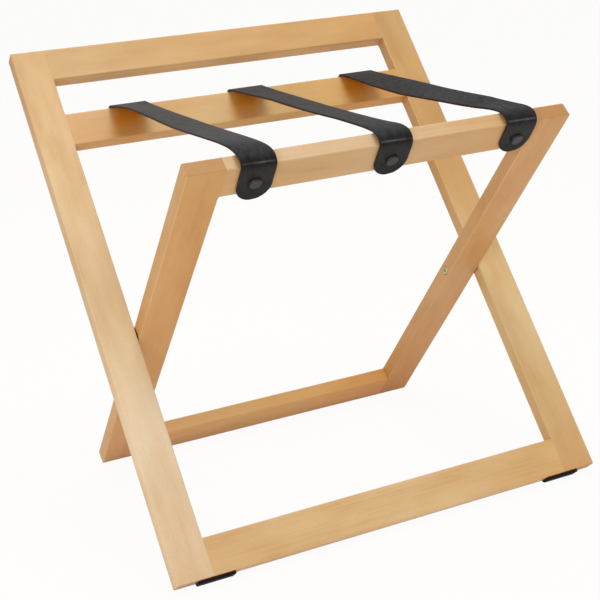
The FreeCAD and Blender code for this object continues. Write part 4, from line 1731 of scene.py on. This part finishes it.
        x = lay.across + drift[:, None] + across
        height = height - self.dip(buttons, x - buttons.places[lay.side], place, level)
        x = x - (cant / (2 * half))[:, None] * height * out[:, 1:2]
        slide = -across * turned_by
        y = place[:, :1] + height * out[:, :1] + slide * way[:, :1]
        z = place[:, 1:] + height * out[:, 1:] + slide * way[:, 1:] + rise
        uv = np.stack([across, walked[:, None] + 0 * across], axis=-1)
        face_side = level[None, :, 1] > 0
        # The creased mark carries the share of painted highlight along the crease.
        marks = {
            "raw_edge": raw[None], "flesh_side": ~face_side,
            "creased": self.creased(walked - crease, tilt) * face_side,
            "sheen": np.interp(walked - crease, self.sheen_places, [*lay.sheen, 1.0])[:, None],
        }
        rings = np.stack([x, y, z], axis=-1) * MM
        return closed_mesh(f"strap_{lay.side}_leather", rings, uv * MM, marks)

    def creased(self, past: Array, tilt: Array) -> Array:
        """Share of the painted highlight along the crease: a bell along the strap, less at its
        edges.

        Args:
            past: Distance of each station beyond the crease.
            tilt: Place across the strap, from -1 to 1, shaped (stations, points).

        Returns:
            The painted highlight's share at each point, from 0 to 1.
        """
        middle, edge = self.crease_lean
        away = (past[:, None] + middle - edge * tilt) / self.crease_width
        return np.exp(-(away**2)) * (self.crease_highlight[0] - self.crease_highlight[1] * tilt**4)

    def dip(self, buttons: ButtonSet, beside: Array, place: Array, level: Array) -> Array:
        """How far the outer face is pressed in round each cap.

        The dip is full well inside the dimple's radius and eases out across it.

        Args:
            buttons: Where the caps sit.
            beside: Distance of each point right of the caps' middles.
            place: Middle line, one row to a station.
            level: Which face each point of the section is on.

        Returns:
            Depth at each point.
        """
        total = np.zeros_like(beside)
        caps = (
            INNER_AXES.side_view(buttons.front_reach, -self.on_wood),
            OUTER_AXES.side_view(buttons.back_reach, self.on_wood),
        )
        outside = self.dimple_radius + self.dimple_ease / 2
        for cap in caps:
            along = np.linalg.norm(place - cap, axis=1)[:, None]
            total += smooth_step((outside - np.hypot(along, beside)) / self.dimple_ease)
        return self.dimple_depth * np.clip(total, 0.0, 1.0) * (level[:, 1] > 0)[None]


@dataclass(frozen=True)
class StrapSet:
    """The three straps.

    Attributes:
        shape: The shape that all three are made to.
        finish: Their leather.
        seed: How far the leather's pattern moves from one strap to the next.
        bend_start: Where they would start to bend, at the strap rail, in metres. Not used.
        bend_end: Where they would lie with the inner frame again, at the seat rail. Not used.
    """

    shape: StrapShape = StrapShape()
    finish: StrapFinish = StrapFinish()
    seed: float = 0.37
    bend_start: Triple = (0.0, 0.150, 0.517)
    bend_end: Triple = (0.0, -0.215, 0.517)

    def build(self, buttons: ButtonSet) -> None:
        """Make the straps and dress them.

        Args:
            buttons: The caps, which press a dimple into each tab.
        """
        for number, lay in enumerate(STRAP_LAYS):
            strap = self.shape.build(lay, buttons)
            self.finish.made(f"leather_{lay.side}", self.seed * (number + 1)).wear(strap)
            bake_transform(strap)
            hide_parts(f"strap_{lay.side}")
            LOG.info("strap %s", strap.name)


# ---- the rest


@dataclass(frozen=True)
class PadSet:
    """Four black glides under the stiles' feet, cut level at the heel.

    All sizes are millimetres.

    Attributes:
        length: Across the bench.
        width: Across the foot.
        thickness: Below the foot.
        heel_cut: Height of the level cut.
        corner_round: Radius of each corner of the section, from the wood round.
        most_cut: Most of a side that a corner takes.
        end_round: Radius at the two short ends.
        end_share: How much of it runs along the pad, and how much draws the section in.
        end_rim: Width of the rim of points on an end face.
        stations: Number of stations between the ends.
        places: Each pair's name, its frame, which way its heels face, how far its feet
            reach below the pivot, and where its pads lie across the bench.
    """

    length: float = 48.0
    width: float = 18.0
    thickness: float = 4.0
    heel_cut: float = 2.0
    corner_round: tuple[float, ...] = (0.15, 0.15, 0.5, 0.6, 0.7)
    most_cut: float = 0.45
    end_round: float = 1.6
    end_share: Pair = (0.5, 0.45)
    end_rim: float = 0.3
    stations: int = 9
    places: tuple[tuple[str, FrameAxes, int, float, float], ...] = (
        ("front", OUTER_AXES, 1, 320.0, 253.0), ("back", INNER_AXES, -1, 330.0, 194.5),
    )

    def outline(self, lean: float, heel: int) -> Array:
        """Section of a pad as (depth, reach), with every corner rounded.

        Each corner is cut back by its radius and bridged by a curve that is the
        square-law mix of the two cut points and the corner.

        Args:
            lean: Degrees that the pad's frame leans.
            heel: 1 where the heel is at the back, -1 where it is at the front.

        Returns:
            Points in order round the section.
        """
        angle = math.radians(abs(lean))
        half = self.width / 2
        rise = self.heel_cut / math.cos(angle)
        run = self.heel_cut / math.sin(angle)
        corners = np.array(
            [
                [-half, 0.0], [half, 0.0], [half, rise - self.thickness],
                [half - run, -self.thickness], [-half, -self.thickness],
            ]
        )
        corners[:, 0] *= heel
        before, after = np.roll(corners, 1, axis=0), np.roll(corners, -1, axis=0)
        reach_back = np.linalg.norm(before - corners, axis=1, keepdims=True)
        reach_on = np.linalg.norm(after - corners, axis=1, keepdims=True)
        radius = np.array(self.corner_round)[:, None]
        start = corners + (before - corners) * np.minimum(radius / reach_back, self.most_cut)
        end = corners + (after - corners) * np.minimum(radius / reach_on, self.most_cut)
        start, tip, end = start[:, None], corners[:, None], end[:, None]
        t = np.linspace(0.0, 1.0, 6)[None, :, None]
        return ((1 - t) ** 2 * start + 2 * t * (1 - t) * tip + t**2 * end).reshape(-1, 2)

    def pad(self, node: str, axes: FrameAxes, heel: int, leg: float, across: float) -> Piece:
        """Carry the section across the foot, and round its two short ends.

        At the ends the section is drawn in towards the wood by a quarter circle.

        Args:
            node: CAD node that the pad replaces.
            axes: The frame it is under.
            heel: Which way its heel faces.
            leg: Reach of the foot below the pivot.
            across: The pad's middle across the bench.

        Returns:
            The pad.
        """
        section = self.outline(axes.lean, heel)
        angle = np.linspace(0.0, math.pi / 2, 7)
        inwards = self.end_round * (1 - np.cos(angle))[:-1] * self.end_share[0]
        shrink = self.end_round * (1 - np.sin(angle))[:-1] * self.end_share[1]
        half = self.length / 2
        first = -half + np.concatenate([[0.0], inwards])
        drawn = np.concatenate([[shrink[0] + self.end_rim], shrink])
        middle = np.linspace(-half + self.end_round, half - self.end_round, self.stations)
        place = np.concatenate([first, middle, -first[::-1]])
        inset = np.concatenate([drawn, np.zeros(self.stations), drawn[::-1]])
        low = 1.0 - inset[:, None] / self.thickness
        narrow = 1.0 - inset[:, None] / (self.width / 2)
        depth = section[None, :, 0] * narrow
        reach = -leg + section[None, :, 1] * low
        rings = axes.place(across + place[:, None] + 0 * depth, reach, depth)
        near_wood = 1.0 + section[None, :, 1] * low / self.thickness
        return closed_mesh(f"{node}_rubber", rings, marks={"near_wood": near_wood})

    def build(self) -> None:
        """Make the four pads and let each ride its frame."""
        # The pads' upper part carries a painted reflection of the wood.
        rubber = MouldedFinish(
            "121012", "1A1819", roughness=0.66, relief=0.3, shine=0.06, painted_reflection="44200F"
        )
        black = rubber.made("pad_rubber")
        for end, axes, heel, leg, across in self.places:
            for side, hand in HAND.items():
                node = f"{end}_pad_{side}"
                pad = self.pad(node, axes, heel, leg, hand * across)
                black.wear(pad)
                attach(pad, axes.body)
                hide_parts(node)
                LOG.info("pad %s", pad.name)


@dataclass(frozen=True)
class HiddenHardware:
    """Pieces that stay as their CAD nodes: inside the wood, or a thin line between boards.

    Attributes:
        steel: Nodes with a bright plate.
        washers: The node of the washers, whose dark tone is painted shade for the gap between the
            stiles.
        tenons: Nodes of beech.
        tenon_beech: The beech that they are cut from.
        tenon_length: Length of that stock, in metres.
    """

    steel: tuple[str, ...] = ("pivot_inserts", "front_strap_screws", "back_strap_screws")
    washers: str = "pivot_washers"
    tenons: tuple[str, ...] = ("outer_frame_tenons", "inner_frame_tenons")
    tenon_beech: BeechFinish = BeechFinish(("E9C79A", "E9C79A"), (70.0, 30.0), 4.4)
    tenon_length: float = 0.6

    def dress(self) -> None:
        """Give the steel its plate and the tenons their beech."""
        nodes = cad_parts
        bright = PlatedFinish("B9BCC0", "A9ADB3").made("bright_zinc")
        bright.wear(*(nodes[name] for name in self.steel))
        # Painted shade: the washers are made dark, standing in for the shadow in the gap between
        # the stiles.
        PlatedFinish("3A342E", "2B2723", 0.5).made("washer_painted_shade").wear(nodes[self.washers])
        plain = self.tenon_beech.made(
            "beech_tenons", Matrix.Identity(3), Vector((0, 0, 0)), self.tenon_length
        )
        plain.wear(*(nodes[name] for name in self.tenons))
        LOG.info("steel and tenons keep their CAD shapes")


# Each board's own cut of beech: its tones, its pith line, its place on an endless board,
# and the gap between its growth rings where it isn't the usual one.
CUTS = {
    "outer_stile_left": BeechFinish(
        ("EFD8B6", "F9EBD1", "E0CAA3", "E4CAA0", "D3B180"), (64.0, 22.0), 0.4
    ),
    "outer_stile_right": BeechFinish(
        ("DEBA86", "E6D1A6", "D1A970", "C6A573"), (-52.0, 31.0), 1.9, 2.7
    ),
    "back_rest_rail": BeechFinish(("CFB07F", "CEA873", "CBA26A"), (48.0, -27.0), 3.1),
    "strap_rail": BeechFinish(
        ("D5AE7B", "D0B381", "D3A764"), (-71.0, 24.0), 5.2, 2.9,
        # Places of the straps, whose shadows are painted onto this rail.
        tuple(lay.across for lay in STRAP_LAYS),
    ),
    "outer_bottom_rail": BeechFinish(("EAC999", "EDD3A7", "E9C791"), (40.0, 35.0), 6.8, 3.6),
    "inner_stile_left": BeechFinish(("DEB381", "DDB27B", "D9B37E"), (58.0, -20.0), 8.3),
    "inner_stile_right": BeechFinish(
        ("D0984A", "D9B486", "D9B587", "D9B48A"), (-66.0, -25.0), 9.7, 2.8
    ),
    "seat_rail": BeechFinish(("D9BC94", "D9C19F", "D9B684"), (45.0, 30.0), 11.6, 3.0),
    "inner_bottom_rail": BeechFinish(("E0B782", "E1BA7D", "E1AD69"), (-55.0, 28.0), 13.2, 3.4),
}


@dataclass(frozen=True)
class WoodenFrame:
    """One frame: two stiles with rails between them, in millimetres.

    Attributes:
        name: First word of its stiles' names.
        axes: Its directions.
        inside: From the bench's middle to a stile's inner side.
        outside: The same to its outer side.
        reach: Where the stiles start and end, up from the pivot.
        rails: Name, start and end of each rail, from the top down.
        underside_light: The rail whose underside is painted pale, standing in for light bounced up
            from below, or nothing.
    """

    name: str
    axes: FrameAxes
    inside: float
    outside: float
    reach: Pair
    rails: tuple[tuple[str, float, float], ...]
    underside_light: str = ""

    def boards(self) -> list[Board]:
        """List every board with its place and its own cut of beech.

        Returns:
            The two stiles, then the rails.
        """
        joints = tuple((low, high) for _, low, high in self.rails)
        rows = [
            (f"{self.name}_stile_left", Run.STILE, (-self.outside, -self.inside), self.reach),
            (f"{self.name}_stile_right", Run.STILE, (self.inside, self.outside), self.reach),
        ]
        for node, low, high in self.rails:
            rows.append((node, Run.RAIL, (-self.inside, self.inside), (low, high)))
        return [
            Board(
                node, self.axes, run, across, reach, CUTS[node],
                joints if run is Run.STILE else (), float(node == self.underside_light),
            )
            for node, run, across, reach in rows
        ]


@dataclass(frozen=True)
class Woodwork:
    """Both wooden frames, which cross at the pivot line.

    Attributes:
        outer: The frame that leans back and carries the back rest.
        inner: The frame that leans forward between the outer stiles.
    """

    outer: WoodenFrame = WoodenFrame(
        "outer", OUTER_AXES, 257.0, 305.0, (-320.0, 430.0),
        (
            ("back_rest_rail", 382.0, 430.0), ("strap_rail", 279.0, 327.0),
            ("outer_bottom_rail", -320.0, -272.0),
        ),
        # Its underside is painted pale, standing in for light from below.
        underside_light="back_rest_rail",
    )
    inner: WoodenFrame = WoodenFrame(
        "inner", INNER_AXES, 207.5, 255.5, (-330.0, 335.0),
        (("seat_rail", 287.0, 335.0), ("inner_bottom_rail", -330.0, -282.0)),
    )

    def build(self, pivots: PivotSet) -> None:
        """Make every board, bore the stiles at the pivot, and dress them all.

        Args:
            pivots: The pivot hardware, which cuts the bores.
        """
        boards = self.outer.boards() + self.inner.boards()
        made = {board.node: board.build() for board in boards}
        pivots.build(
            {side: made[f"outer_stile_{side}"] for side in HAND},
            {side: made[f"inner_stile_{side}"] for side in HAND},
        )
        for board in boards:
            board.dress(made[board.node])


# ---- studio


@dataclass(frozen=True)
class SoftBox:
    """A wide, soft lamp.

    Attributes:
        name: Name of the lamp.
        place: Where it hangs, in metres.
        size: Its width and height in metres.
        power: Its output in watts.
    """

    name: str
    place: Triple
    size: Pair
    power: float


@dataclass(frozen=True)
class Studio:
    """White floor, even light from above and in front, and the camera.

    Attributes:
        camera_place: Where the camera stands, in metres.
        camera_turn: How it is turned, in degrees about x, y and z.
        focal_pixels: Its focal length, in pixels of a view that is IMAGE_SIDE wide.
        centre_pixels: Where its axis meets that view, from the upper left corner.
        sensor: Width of its sensor in millimetres.
        clip: Nearest and farthest that it sees, in metres.
        world_level: Strength of the light from all round.
        world_tint: Its colour.
        lamps: The soft boxes.
        lamp_tint: Their colour.
        lamp_target: What they point at.
        floor_half: Half the floor's side, in metres.
        floor_drop: How far below the pads it lies, so that they don't share a face.
        floor_paint: Its colour.
        floor_glow: How far it is shown as plain white.
    """

    camera_place: Triple = (-0.77894, -1.60930, 0.81424)
    camera_turn: Triple = (73.6882, 3.4666, -26.9993)
    focal_pixels: float = 1372.75
    centre_pixels: Pair = (308.1, 268.25)
    sensor: float = 36.0
    clip: Pair = (0.05, 60.0)
    world_level: float = 0.57
    world_tint: str = "FFF1E2"
    lamps: tuple[SoftBox, ...] = (
        SoftBox("overhead", (0.15, 0.1, 2.3), (1.3, 1.0), 24.0),
        SoftBox("front", (-2.2, -2.1, 1.3), (1.8, 1.4), 21.0),
    )
    lamp_tint: str = "F6FAFF"
    lamp_target: Triple = (0.0, 0.0, 0.3)
    floor_half: float = 9.0
    floor_drop: float = 0.0002
    floor_paint: str = "FAEBD6"
    floor_glow: float = 0.95

    def camera(self) -> None:
        """Make the camera, with its lens and shift worked out from sizes in pixels."""
        data = bpy.data.cameras.new("view")
        data.sensor_width = self.sensor
        data.lens = self.focal_pixels * self.sensor / IMAGE_SIDE
        data.shift_x = (IMAGE_SIDE / 2 - self.centre_pixels[0]) / IMAGE_SIDE
        data.shift_y = (self.centre_pixels[1] - IMAGE_SIDE / 2) / IMAGE_SIDE
        data.clip_start, data.clip_end = self.clip
        camera = bpy.data.objects.new("view", data)
        camera.location = self.camera_place
        camera.rotation_euler = Euler([math.radians(a) for a in self.camera_turn])
        bpy.context.scene.collection.objects.link(camera)
        bpy.context.scene.camera = camera

    def lamp(self, box: SoftBox) -> None:
        """Hang one soft box.

        Args:
            box: The lamp's place, size and power.
        """
        data = bpy.data.lights.new(box.name, "AREA")
        data.shape = "RECTANGLE"
        data.size, data.size_y = box.size
        data.color = srgb(self.lamp_tint)[:3]
        data.energy = box.power
        lamp = bpy.data.objects.new(box.name, data)
        lamp.location = box.place
        aim = Vector(self.lamp_target) - Vector(box.place)
        lamp.rotation_euler = aim.to_track_quat("-Z", "Y").to_euler()
        bpy.context.scene.collection.objects.link(lamp)

    def seen_share(self, tree: bpy.types.NodeTree, strength: float) -> Socket:
        """Share of a ray that sees plain white: from the camera, gloss or clear pieces.

        Args:
            tree: Node tree of the world or the floor.
            strength: The share for such a ray.

        Returns:
            The strength times the highest of the three, and 0 for rays that carry light.
        """
        path = tree.nodes.new("ShaderNodeLightPath")
        highest = path.outputs["Is Camera Ray"]
        for kind in ("Is Glossy Ray", "Is Transmission Ray"):
            step = tree.nodes.new("ShaderNodeMath")
            step.operation = "MAXIMUM"
            tree.links.new(highest, step.inputs[0])
            tree.links.new(path.outputs[kind], step.inputs[1])
            highest = step.outputs[0]
        share = tree.nodes.new("ShaderNodeMath")
        share.operation = "MULTIPLY"
        share.inputs[1].default_value = strength
        tree.links.new(highest, share.inputs[0])
        return share.outputs[0]

    def world(self) -> None:
        """Light the bench from all round, and show plain white behind it."""
        world = bpy.data.worlds.new("studio")
        world.use_nodes = True
        tree = world.node_tree
        tree.nodes.clear()
        output = tree.nodes.new("ShaderNodeOutputWorld")
        light = tree.nodes.new("ShaderNodeBackground")
        light.inputs["Color"].default_value = srgb(self.world_tint)
        light.inputs["Strength"].default_value = self.world_level
        shown = tree.nodes.new("ShaderNodeBackground")
        shown.inputs["Color"].default_value = (1.0, 1.0, 1.0, 1.0)
        mix = tree.nodes.new("ShaderNodeMixShader")
        tree.links.new(self.seen_share(tree, 1.0), mix.inputs[0])
        tree.links.new(light.outputs[0], mix.inputs[1])
        tree.links.new(shown.outputs[0], mix.inputs[2])
        tree.links.new(mix.outputs[0], output.inputs[0])
        bpy.context.scene.world = world

    def floor(self) -> None:
        """Lay a white floor that still takes a faint shadow from the bench."""
        side = np.linspace(-self.floor_half, self.floor_half, 3)
        x, y = np.meshgrid(side, side)
        points = np.stack([x, y, 0 * x - self.floor_drop], axis=-1).reshape(-1, 3)
        mesh = bpy.data.meshes.new("floor")
        mesh.from_pydata(points, [], grid_quads(3, 3, closed=False).tolist())
        floor = bpy.data.objects.new("floor", mesh)
        bpy.context.scene.collection.objects.link(floor)
        material = bpy.data.materials.new("floor_white")
        material.use_nodes = True
        tree = material.node_tree
        tree.nodes.clear()
        output = tree.nodes.new("ShaderNodeOutputMaterial")
        paint = tree.nodes.new("ShaderNodeBsdfDiffuse")
        paint.inputs["Color"].default_value = srgb(self.floor_paint)
        glow = tree.nodes.new("ShaderNodeEmission")
        mix = tree.nodes.new("ShaderNodeMixShader")
        tree.links.new(self.seen_share(tree, self.floor_glow), mix.inputs[0])
        tree.links.new(paint.outputs[0], mix.inputs[1])
        tree.links.new(glow.outputs[0], mix.inputs[2])
        tree.links.new(mix.outputs[0], output.inputs[0])
        mesh.materials.append(material)

    def build(self) -> None:
        """Set up view, floor, world and lamps."""
        bpy.context.scene.view_settings.view_transform = "Standard"
        self.camera()
        self.world()
        self.floor()
        for box in self.lamps:
            self.lamp(box)
        LOG.info("studio ready")


def main() -> None:
    """Build the bench in order: wood and pivots, straps and caps, pads, then the studio."""
    logging.basicConfig(level=logging.INFO, format="%(name)s: %(message)s")
    Woodwork().build(PivotSet())
    buttons = ButtonSet()
    StrapSet().build(buttons)
    buttons.build()
    PadSet().build()
    HiddenHardware().dress()
    Studio().build()


if __name__ == "__main__":
    main()
